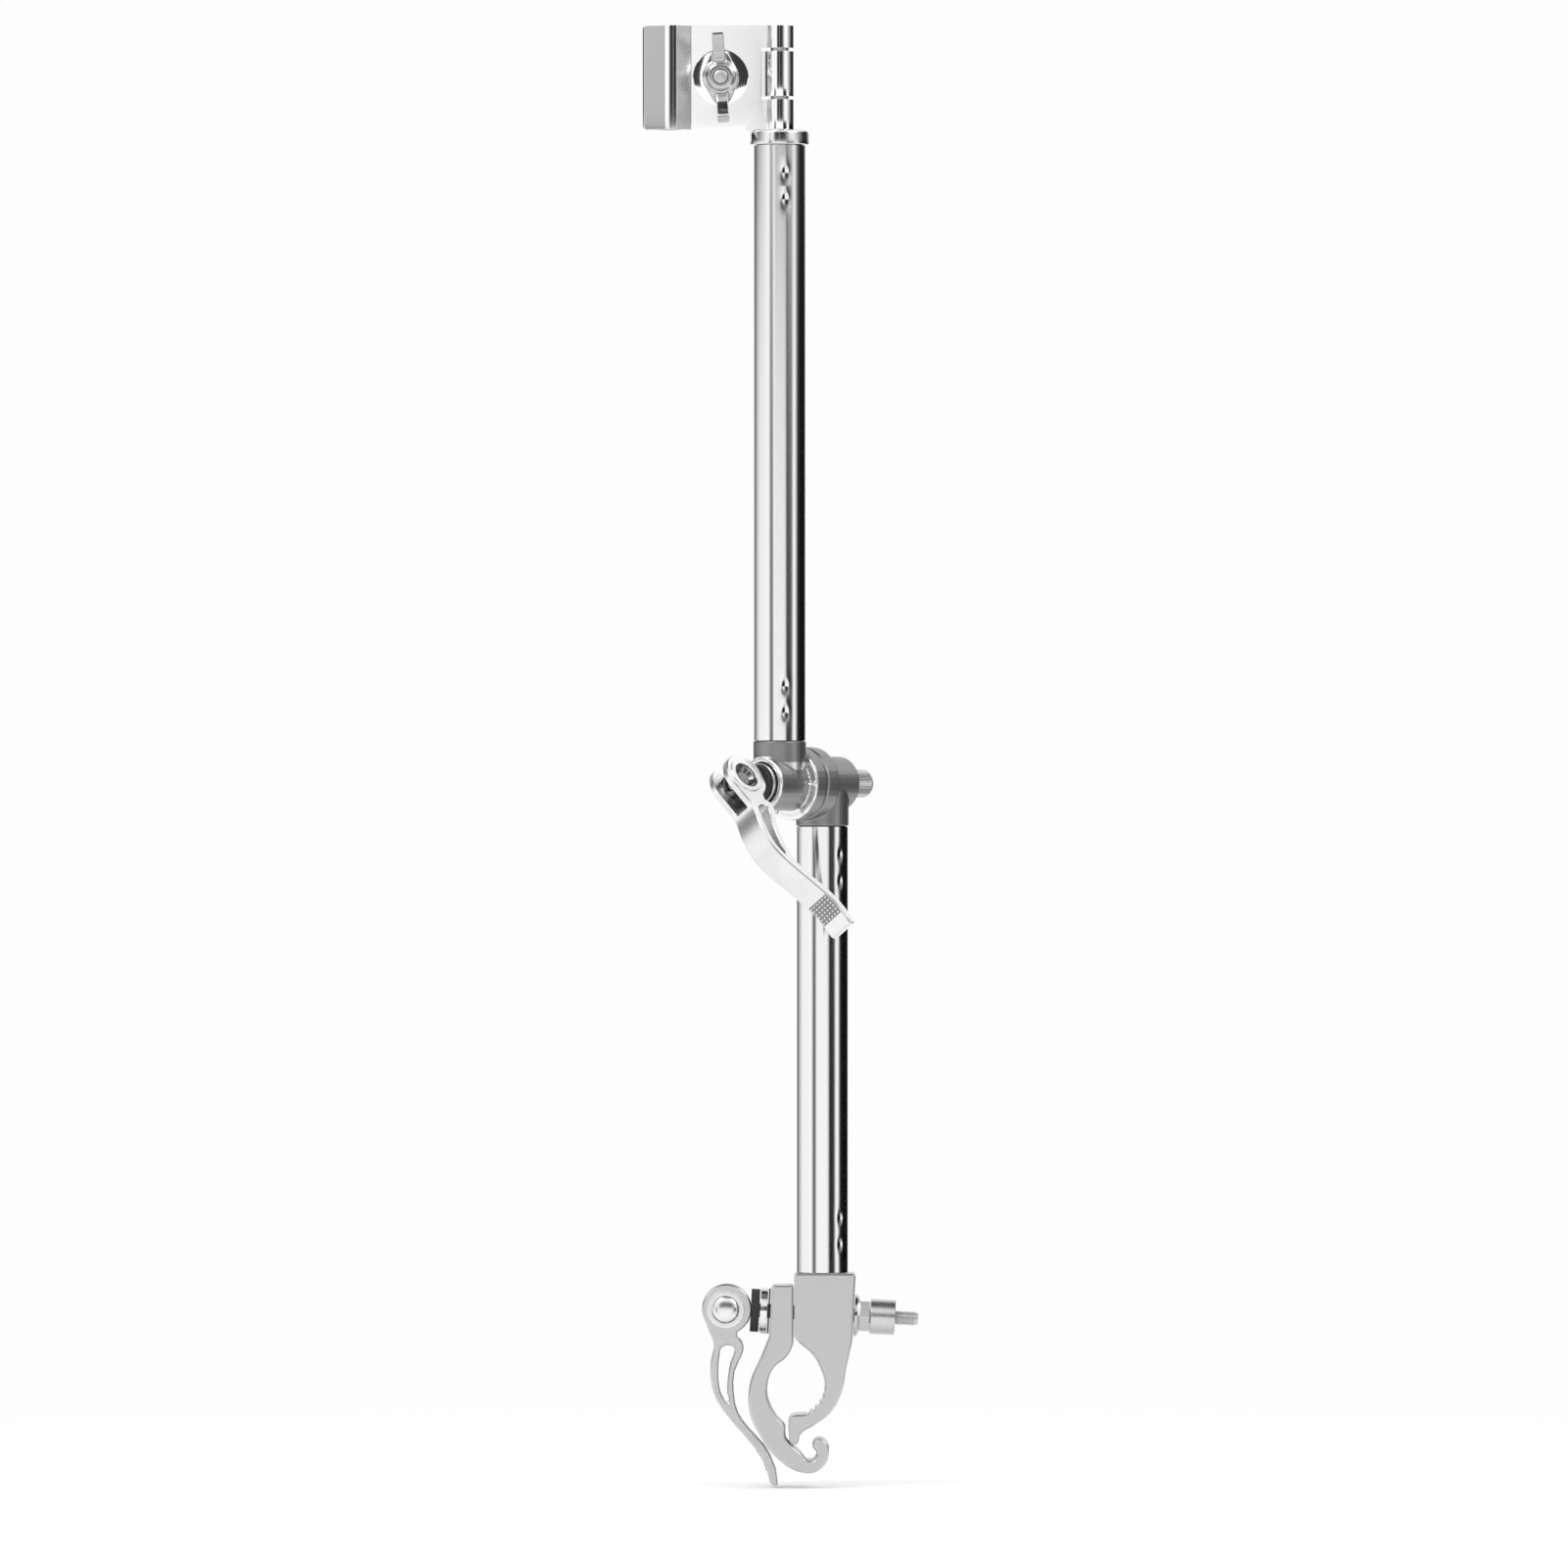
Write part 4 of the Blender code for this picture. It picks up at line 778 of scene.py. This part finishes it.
TURNED = (
    Turned("clamp_trunnion", "clamp_skewer", DOME_STEEL, CLAMP_LEVER,
           DOME + FAR_DOME, 0.05, bored=True),
    Turned("joint_trunnion", "joint_skewer", DARK_STEEL_AND_PAINTED_SHADE, JOINT_LEVER,
           SOCKET + FAR_DOME, 0.12, bored=True),
    Turned("clamp_follower", "clamp_skewer", NYLON, CLAMP_AXIS,
           washer(3.4, 9.15, 15.7, 19.4), 0.4, saddle=29.6),
    Turned("joint_follower", "joint_skewer", NYLON, HEAD_AXIS,
           washer(3.4, 8.1, 13.8, 17.6), 0.4, saddle=26.5),
    Turned("clamp_washer", "clamp_skewer", MIRROR_STEEL, CLAMP_AXIS,
           washer(3.4, 10.0, 12.3, 15.4), 0.45),
    Turned("joint_washer", "joint_washers", TURNED_STEEL, HEAD_AXIS,
           washer(3.4, 8.6, 11.8, 13.5), 0.3),
    Turned("clamp_seal", "clamp_skewer", RUBBER, CLAMP_AXIS, washer(3.4, 9.6, 11.3, 12.0), 0.15),
    Turned("joint_seal", "upper_arm", RUBBER, HEAD_AXIS, washer(3.4, 8.75, 10.6, 11.5), 0.15),
    Turned("clamp_barrel_nut", "clamp_nuts", TURNED_STEEL, CLAMP_AXIS,
           washer(3.3, 7.5, -42.1, -31.5), 0.5, knurl=(-41.4, -32.2, 0.07), steps=180),
    Turned("joint_nut", "joint_nut", TURNED_STEEL, BASE_AXIS,
           ((0, -23.6), (3.3, -23.6), (3.3, -11.8), (5.4, -11.8), (6.0, -12.4), (6.0, -25.4),
            (5.64, -26.24), (4.8, -26.6), (0, -26.6)), 0.15, knurl=(-25.3, -12.5, 0.16), steps=112),
    Turned("clamp_rod", "clamp_skewer", ZINC_STEEL, CLAMP_AXIS, CLAMP_ROD, 0.03),
    Turned("joint_rod", "joint_skewer", ZINC_STEEL, HEAD_AXIS,
           ((0, 30.0), (2.4, 30.0), (3.0, 29.4), (3.0, -48.3), (2.4, -48.9), (0, -48.9)), 0.05),
    Turned("leaf_bolt", "rear_leaf", ZINC_STEEL, BOLT_AXIS, BOLT, 0.3),
    Turned("wing_washer", "wing_washer", SHEET_STEEL, BOLT_AXIS,
           washer(3.3, 11.8, 2.8, 4.0), 0.35, steps=128),
)


# Levers and the wing nut

@dataclass(frozen=True)
class CamLever:
    """Forked cam lever with a rimmed eye on each cheek and a ribbed thumb pad.

    Sizes are in millimetres. The pad runs between two (x, y) places on the lever's outer face.
    A rib is (share of its column, length, height), and narrows towards its top; the dark plate
    under it, painted shade between the ribs, is (share of its column, share of its row, thickness).
    """

    node: str
    body: str
    place: Matrix
    rim: float
    finish: Finish
    half_width: float = 6.3
    eye: tuple[float, float] = (5.85, 8.0)
    pad: Profile = ((13.0, -60.0), (17.3, -69.0))
    margin: float = 0.8
    rows: int = 6
    columns: int = 6
    rib: tuple[float, float, float] = (0.76, 0.9, 1.0)
    rib_top: float = 0.62
    # The dark plate that paints shade between the ribs.
    shade_plate: tuple[float, float, float] = (1.02, 1.04, 0.3)
    stand_off: float = 6.0

    def build(self) -> None:
        """Make the lever, its thumb pad with painted shade between its ribs, and its eye rims."""
        shape = merged_copy(self.node)
        soften(shape, width=0.35 * MM, segments=3)
        ribs, shade_plate = self._thumb_pad_shade(BVHTree.FromBMesh(shape))
        piece = dress(
            self.node + "_finished", shape, self.finish, self.body, (self.node,), sharp=60)
        even_normals(piece)
        dress(self.node + "_thumb_ribs", ribs, self.finish, self.body)
        # A dark plate under the ribs paints the shade in the gaps between them.
        dress(self.node + "_thumb_pad_shade", shade_plate, DARK_STEEL_AND_PAINTED_SHADE, self.body)
        for name, turn in (("near", 0.0), ("far", math.pi)):
            profile = washer(*self.eye, self.half_width - 0.2, self.half_width + self.rim)
            place = self.place @ Matrix.Rotation(turn, 4, "X")
            ring = lathe(rounded(scaled(profile), radius=0.28 * MM, count=4), steps=80)
            dress(f"{self.node}_{name}_rim", ring, LEVER_ALLOY, self.body, place=place)

    def _thumb_pad_shade(self, tree: BVHTree) -> tuple[Shape, Shape]:
        """Set rows of small ribs on the lever's outer face.

        Args:
            tree: Search tree of the lever, in world places.

        Returns:
            The ribs, each sunk a little into the lever, and a dark plate between them that paints
            the shade in their gaps.
        """
        ribs = bmesh.new()
        shade_plate = bmesh.new()
        (x0, y0), (x1, y1) = self.pad
        along = Vector((x1 - x0, y1 - y0, 0)).normalized()
        outward = Vector((along.y, -along.x, 0))
        facing = (self.place.to_3x3() @ outward).normalized()
        pitch = (self.half_width - self.margin) * 2 / self.columns
        row_pitch = math.hypot(x1 - x0, y1 - y0) / self.rows
        share, length, height = self.rib
        rib = Matrix.Diagonal((pitch * share * MM, length * MM, height * MM, 1))
        across, down, thickness = self.shade_plate
        plate = Matrix.Diagonal((pitch * across * MM, row_pitch * down * MM, thickness * MM, 1))
        for row in range(self.rows):
            part = (row + 0.5) / self.rows
            for column in range(self.columns):
                aside = (column + 0.5) * pitch - self.half_width + self.margin
                spot = Vector((x0 + (x1 - x0) * part, y0 + (y1 - y0) * part, aside)) * MM
                start = self.place @ (spot + outward * self.stand_off * MM)
                found, normal, _, _ = tree.ray_cast(start, -facing, self.stand_off * 2 * MM)
                if found is None:
                    continue
                here = seat(found, normal, self.place.col[2].to_3d())
                bmesh.ops.create_cube(shade_plate, size=1.0, matrix=here @ plate)
                made = bmesh.ops.create_cube(ribs, size=1.0, matrix=here @ rib)
                top = [vert for vert in made["verts"] if (vert.co - found).dot(normal) > 0]
                centre = sum((vert.co for vert in top), Vector()) / len(top)
                for vert in top:
                    vert.co = centre + (vert.co - centre) * self.rib_top
        for shape in (ribs, shade_plate):
            bmesh.ops.recalc_face_normals(shape, faces=shape.faces)
        return ribs, shade_plate


LEVERS = (
    # The clamp's lever takes a darker copy of the lever alloy as painted shade.
    CamLever("clamp_lever", "clamp_lever", CLAMP_LEVER, 0.12, CLAMP_LEVER_ALLOY_PAINTED_SHADE),
    CamLever("joint_lever", "joint_lever", JOINT_LEVER, 0.45, LEVER_ALLOY),
)


@dataclass(frozen=True)
class WingNut:
    """Cast wing nut: a lemon-shaped foot, a turned hub and two rising wings.

    Sizes are in millimetres. The foot is (radius, how far its points stand out, sharpness).
    """

    turn: float = math.radians(4)
    back: float = 4.3
    foot: tuple[float, float, int] = (7.7, 4.4, 7)
    foot_top: float = 7.6
    half_wing: float = 2.5
    hub: Profile = (
        (0, 4.3), (7.5, 4.3), (7.8, 4.7), (7.8, 6.6), (7.2, 7.9), (6.3, 8.5), (5.75, 9.4),
        (5.7, 11.2), (5.2, 12.1), (0, 12.1),
    )
    wing: Profile = (
        (3.6, 4.7), (9.0, 5.0), (12.6, 6.3), (15.9, 8.8), (18.0, 11.8), (18.65, 14.0),
        (17.6, 15.0), (16.0, 14.6), (13.6, 12.4), (10.6, 10.2), (7.4, 8.7), (3.6, 8.6),
    )

    def build(self) -> None:
        """Cast the nut in one piece, bore it and dress it."""
        shapes = [extruded(self._lemon(), self.back * MM, self.foot_top * MM)]
        half = self.half_wing * MM
        for turn in (0.0, math.pi):
            upright = Matrix.Rotation(turn, 4, "Z") @ seat((0, 0, 0), (0, -1, 0), (1, 0, 0))
            shapes.append(extruded(scaled(self.wing), -half, half, upright))
        shape = combined(lathe(scaled(self.hub)), shapes, "UNION")
        shape = cast(shape, voxel=0.26 * MM, rounds=7)
        shape = drilled(shape, ROD_HOLE_RADIUS, 0, 20 * MM)
        place = BOLT_AXIS @ Matrix.Rotation(self.turn, 4, "Z")
        dress("wing_nut_cast", shape, CAST_CHROME, "wing_nut", ("wing_nut",), place, sharp=70)

    def _lemon(self, count: int = 72) -> Profile:
        """Outline of the nut's foot, drawn out towards both wings, in metres."""
        plain, point, sharpness = self.foot
        points = []
        for index in range(count):
            turn = math.tau * index / count
            radius = plain + point * abs(math.cos(turn)) ** sharpness
            points.append((radius * math.cos(turn) * MM, radius * math.sin(turn) * MM))
        return points


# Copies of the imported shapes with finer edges

@dataclass(frozen=True)
class Refined:
    """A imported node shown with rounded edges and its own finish."""

    node: str
    body: str
    finish: Finish
    edge: float
    segments: int = 2

    def build(self) -> None:
        """Make the refined copy and dress it."""
        shape = merged_copy(self.node)
        soften(shape, self.edge, self.segments)
        piece = dress(
            self.node + "_finished", shape, self.finish, self.body, (self.node,), sharp=60)
        even_normals(piece)


@dataclass(frozen=True)
class FoldedLeaf:
    """Front leaf of the umbrella clamp, with a flat-topped fold as on the real sheet.

    The fold starts at an X in millimetres, where the sheet slopes by the first angle in degrees.
    Its stretches are (width in millimetres, slope at the end in degrees), remade in steps.
    """

    start: float = -55.79
    first: float = -19.3
    fold: Profile = ((2.3, -9.5), (2.7, 8.5), (0.3, 31.6))
    step: float = 0.25
    # X span of the fold's near slope, which takes the darker sheet finish as painted shade.
    near_slope: tuple[float, float] = (-50.6 * MM, -44.4 * MM)

    def heights(self) -> list[tuple[float, float]]:
        """How far the sheet's front lies from the fold's start, as (x, y) in metres."""
        points = [(self.start * MM, 0.0)]
        last = self.first
        for width, end in self.fold:
            count = max(2, round(width / self.step))
            for index in range(count):
                turn = math.radians(last + (end - last) * (index + 0.5) / count)
                x, y = points[-1]
                points.append((x + width / count * MM, y + math.tan(turn) * width / count * MM))
            last = end
        return points

    def build(self) -> None:
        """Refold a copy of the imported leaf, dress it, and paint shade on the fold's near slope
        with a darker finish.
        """
        shape = merged_copy("front_leaf")
        points = self.heights()
        tree = BVHTree.FromBMesh(shape)
        middle = BOLT_AXIS.translation.z
        front = tree.ray_cast(Vector((points[0][0], -1, middle)), Vector((0, 1, 0)))[0].y
        for x, _ in points:
            bmesh.ops.bisect_plane(
                shape, geom=shape.verts[:] + shape.edges[:] + shape.faces[:], plane_co=(x, 0, 0),
                plane_no=(1, 0, 0), dist=1e-6)
        shape.normal_update()
        for vert in shape.verts:
            if vert.normal.y > -0.2 or not points[0][0] <= vert.co.x <= points[-1][0]:
                continue
            for (x0, y0), (x1, y1) in zip(points, points[1:]):
                if x0 - 1e-7 <= vert.co.x <= x1 + 1e-7:
                    vert.co.y = front + y0 + (y1 - y0) * (vert.co.x - x0) / (x1 - x0)
                    break
        soften(shape, width=0.2 * MM, angle=40.0)
        piece = dress(
            "front_leaf_folded", shape, SHEET_STEEL, "upper_arm", ("front_leaf",), sharp=60)
        # The near slope gets a rougher sheet finish whose darker tone is painted shade.
        piece.data.materials.append(BRUSHED_SHEET_PAINTED_SHADE.material())
        low, high = self.near_slope
        for face in piece.data.polygons:
            if low < face.center.x < high and face.normal.y < -0.5 and face.normal.x > 0.3:
                face.material_index = 1
        even_normals(piece)


REFINED = (
    Refined("clamp_body", "lower_arm", SATIN_ALLOY, 0.25 * MM),
    Refined("clamp_jaw", "clamp_jaw", SATIN_ALLOY, 0.25 * MM),
    Refined("clamp_flange_nut", "clamp_nuts", CAST_CHROME, 0.20 * MM),
    Refined("joint_spring", "upper_arm", ZINC_STEEL, 0.02 * MM, 1),
    Refined("top_cap", "upper_arm", MIRROR_STEEL, 0.20 * MM),
    Refined("hinge_pin", "upper_arm", ZINC_STEEL, 0.10 * MM),
    Refined("rear_leaf", "rear_leaf", SHEET_STEEL, 0.20 * MM),
)


# Studio

def feed(tree: NodeTree, entry: Socket, value: Socket | float) -> None:
    """Link a node's input to a socket, or set it to a number.

    Args:
        tree: The nodes.
        entry: The input.
        value: The socket, or the number; a colour input takes it as its grey.
    """
    if isinstance(value, Socket):
        tree.links.new(value, entry)
    elif entry.type == "RGBA":
        entry.default_value = (value, value, value, 1)
    else:
        entry.default_value = value


@dataclass(frozen=True)
class Studio:
    """Camera, lamps, floor and the surroundings that the polished steel mirrors."""

    frame_width: float = 666.7 * MM
    lens: float = 300.0
    sensor: float = 36.0
    aim: tuple[float, float] = (-5.2 * MM, 256.25 * MM)
    backdrop: float = 0.985
    room_light: float = 1.0
    floor_radius: float = 0.9
    floor_gap: float = 1 * MM
    floor_grey: float = 0.93
    floor_roughness: float = 0.9
    floor_alpha: float = 0.85
    floor_fade: tuple[float, float] = (0.12, 0.9)

    def camera(self) -> None:
        """Set up the camera at the photograph's angle."""
        data = bpy.data.cameras.new("camera")
        data.lens = self.lens
        data.sensor_width = self.sensor
        distance = self.frame_width * self.lens / self.sensor
        data.clip_start = distance * 0.1
        data.clip_end = distance * 10
        camera = bpy.data.objects.new("camera", data)
        camera.location = (self.aim[0], -distance, self.aim[1])
        camera.rotation_euler = (math.pi / 2, 0, 0)
        bpy.context.scene.collection.objects.link(camera)
        bpy.context.scene.camera = camera

    def lamp(self, name: str, place: Sequence[float], size: float, power: float) -> None:
        """Add a soft square lamp that points at the middle of the holder.

        Args:
            name: The lamp's name.
            place: Where it hangs.
            size: Its width and height.
            power: Its power in watts.
        """
        data = bpy.data.lights.new(name, "AREA")
        data.shape = "SQUARE"
        data.size = size
        data.energy = power
        lamp = bpy.data.objects.new(name, data)
        middle = Vector((self.aim[0], 0, self.aim[1]))
        lamp.matrix_world = seat(place, Vector(place) - middle, (1, 0, 0.01))
        bpy.context.scene.collection.objects.link(lamp)

    def surroundings(self) -> None:
        """Make the world: a white backdrop, soft room light, and panels that the steel mirrors."""
        world = bpy.data.worlds.new("studio")
        bpy.context.scene.world = world
        world.use_nodes = True
        tree = world.node_tree
        tree.nodes.clear()
        direction = tree.nodes.new("ShaderNodeTexCoord").outputs["Generated"]
        parts = tree.nodes.new("ShaderNodeSeparateXYZ")
        tree.links.new(direction, parts.inputs["Vector"])
        ahead = self._math(tree, "MULTIPLY", parts.outputs["Y"], -1.0)
        azimuth = self._math(tree, "ARCTAN2", parts.outputs["X"], ahead)
        turn = self._math(tree, "MULTIPLY_ADD", azimuth, 1 / math.tau, 0.5)
        panels = self._ramp(tree, turn, TUBE_PANELS)
        top_panels = self._ramp(tree, turn, TOP_PANELS)
        degrees = self._math(tree, "MULTIPLY", azimuth, 360 / math.tau)
        for centre, half_width, grey, fade in TOP_STRIPES:
            within = self._math(tree, "COMPARE", degrees, centre, half_width)
            stripe = self._math(tree, "MULTIPLY_ADD", degrees, fade, grey)
            top_panels = self._mix(tree, within, top_panels, stripe)
        height = parts.outputs["Z"]
        above = self._math(tree, "GREATER_THAN", height, TOP_LEVEL)
        level = self._mix(tree, above, panels, top_panels)
        raised = self._math(tree, "MULTIPLY_ADD", height, 0.5, 0.5)
        overhead = self._ramp(tree, raised, OVERHEAD)
        away = self._ramp(tree, self._math(tree, "ABSOLUTE", height), AWAY_FROM_LEVEL)
        mirrored = self._mix(tree, away, level, overhead)
        rays = tree.nodes.new("ShaderNodeLightPath").outputs
        seen = self._mix(tree, rays["Is Glossy Ray"], self.room_light, mirrored)
        seen = self._mix(tree, rays["Is Camera Ray"], seen, self.backdrop)
        sky = tree.nodes.new("ShaderNodeBackground")
        tree.links.new(seen, sky.inputs["Color"])
        output = tree.nodes.new("ShaderNodeOutputWorld")
        tree.links.new(sky.outputs["Background"], output.inputs["Surface"])

    @staticmethod
    def _math(tree: NodeTree, operation: str, *values: Socket | float) -> Socket:
        """Add a Math node.

        Args:
            tree: The world's nodes.
            operation: The node's operation.
            values: Its inputs in order.

        Returns:
            The node's result.
        """
        node = tree.nodes.new("ShaderNodeMath")
        node.operation = operation
        for entry, value in zip(node.inputs, values):
            feed(tree, entry, value)
        return node.outputs[0]

    @staticmethod
    def _ramp(tree: NodeTree, value: Socket, stops: Profile) -> Socket:
        """Add a grey ramp.

        Args:
            tree: The world's nodes.
            value: What the ramp reads.
            stops: (position, grey) pairs.

        Returns:
            The ramp's colour.
        """
        node = tree.nodes.new("ShaderNodeValToRGB")
        ramp = node.color_ramp
        ramp.elements.remove(ramp.elements[-1])
        ramp.elements[0].position = stops[0][0]
        for index, (place, grey) in enumerate(stops):
            element = ramp.elements.new(place) if index else ramp.elements[0]
            element.color = (grey, grey, grey, 1)
        tree.links.new(value, node.inputs["Fac"])
        return node.outputs["Color"]

    @staticmethod
    def _mix(
        tree: NodeTree, share: Socket, first: Socket | float, second: Socket | float
    ) -> Socket:
        """Mix two colours, each given as a socket or as its grey.

        Args:
            tree: The world's nodes.
            share: How much of the second colour shows.
            first: The colour at 0.
            second: The colour at 1.

        Returns:
            The mixed colour.
        """
        node = tree.nodes.new("ShaderNodeMix")
        node.data_type = "RGBA"
        for index, value in ((0, share), (6, first), (7, second)):
            feed(tree, node.inputs[index], value)
        return node.outputs[2]

    def floor(self) -> None:
        """Lay a pale round floor below the clamp that fades out towards its rim."""
        low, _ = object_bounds()
        shape = bmesh.new()
        bmesh.ops.create_circle(shape, cap_ends=True, segments=96, radius=self.floor_radius)
        mesh = bpy.data.meshes.new("floor")
        shape.to_mesh(mesh)
        shape.free()
        floor = bpy.data.objects.new("floor", mesh)
        floor.location = (0, 0, low.z - self.floor_gap)
        bpy.context.scene.collection.objects.link(floor)
        floor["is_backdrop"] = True
        material = bpy.data.materials.new("floor")
        material.use_nodes = True
        tree = material.node_tree
        shader = tree.nodes["Principled BSDF"]
        shader.inputs["Base Color"].default_value = (*(self.floor_grey,) * 3, 1)
        shader.inputs["Roughness"].default_value = self.floor_roughness
        shader.inputs["Specular IOR Level"].default_value = 0.0
        place = tree.nodes.new("ShaderNodeTexCoord")
        length = tree.nodes.new("ShaderNodeVectorMath")
        length.operation = "LENGTH"
        tree.links.new(place.outputs["Object"], length.inputs[0])
        fade = tree.nodes.new("ShaderNodeMapRange")
        fade.interpolation_type = "SMOOTHSTEP"
        start, end = self.floor_fade
        fade.inputs["From Min"].default_value = self.floor_radius * start
        fade.inputs["From Max"].default_value = self.floor_radius * end
        fade.inputs["To Min"].default_value = self.floor_alpha
        fade.inputs["To Max"].default_value = 0.0
        tree.links.new(length.outputs["Value"], fade.inputs["Value"])
        tree.links.new(fade.outputs["Result"], shader.inputs["Alpha"])
        mesh.materials.append(material)

    def build(self) -> None:
        """Set the studio up."""
        bpy.context.scene.view_settings.view_transform = "Standard"
        self.camera()
        self.surroundings()
        self.floor()
        self.lamp("key", (-1.1, -1.3, 2.1), 0.9, 14.0)
        self.lamp("fill", (1.5, -0.9, 1.6), 1.0, 6.0)


def around(*stops: tuple[float, float]) -> list[tuple[float, float]]:
    """Ramp stops for panels round the holder, from (degrees from the camera, grey) pairs."""
    return [(degrees / 360 + 0.5, grey) for degrees, grey in stops]


# Panels level with the holder, from behind it over its left, front and right to behind it
TUBE_PANELS = around(
    (-180, 1.0), (-166, 1.0), (-157, 0.45), (-150, 0.24), (-132, 0.30), (-117, 0.72),
    (-100, 1.10), (-50, 1.15), (-44, 0.50), (-40, 0.10), (-34.5, 0.10), (-29, 0.60),
    (-25, 1.15), (19, 1.15), (27, 0.75), (31, 0.05), (36, 0.0), (48, 0.0), (55, 0.16),
    (62, 0.95), (66, 1.15), (73, 1.12), (79, 0.5), (87, 0.02), (98, 0.0), (135, 0.0),
    (147, 0.04), (158, 0.5), (168, 1.0), (180, 1.0),
)
# The same where the mirrored direction's Z is above TOP_LEVEL, with stripes on them: (degrees
# from the camera, half width, grey at 0 degrees, change in grey for each degree)
TOP_PANELS = around(
    (-180, 1.0), (-165, 1.0), (-150, 0.10), (-132, 0.02), (-105, 0.04), (-88, 0.30),
    (-68, 0.75), (-52, 1.10), (-27, 1.10), (-22, 0.60), (-18, 0.05), (17, 0.03), (26, 0.22),
    (36, 0.70), (44, 1.05), (54, 1.05), (70, 0.70), (88, 0.25), (104, 0.03), (128, 0.02),
    (150, 0.4), (165, 1.0), (180, 1.0),
)
TOP_LEVEL = 0.0489
TOP_STRIPES = ((-0.42, 0.42, 0.80, -0.45), (-38.6, 1.7, 0.50, 0.0))
# What is mirrored from straight below (0) to straight above (1), and how much of it shows by
# the size of the direction's Z
OVERHEAD = (
    (0.0, 0.03), (0.035, 0.05), (0.08, 0.85), (0.30, 0.95), (0.5, 1.0), (0.86, 1.05),
    (0.93, 0.75), (0.965, 0.04), (1.0, 0.03),
)
AWAY_FROM_LEVEL = ((0.0, 0.0), (0.34, 0.0), (0.48, 1.0), (1.0, 1.0))


TUBES = (
    CrimpedTube("lower_tube", "lower_arm", math.radians(44.7)),
    CrimpedTube("upper_tube", "upper_arm", math.radians(12.4)),
)


def main() -> None:
    """Build the studio and every piece of the holder."""
    logging.basicConfig(level=logging.INFO, format="%(message)s")
    Studio().build()
    for part in (*TUBES, ToothedJoint(), *REFINED, FoldedLeaf(), *TURNED, *LEVERS, WingNut()):
        part.build()


if __name__ == "__main__":
    main()
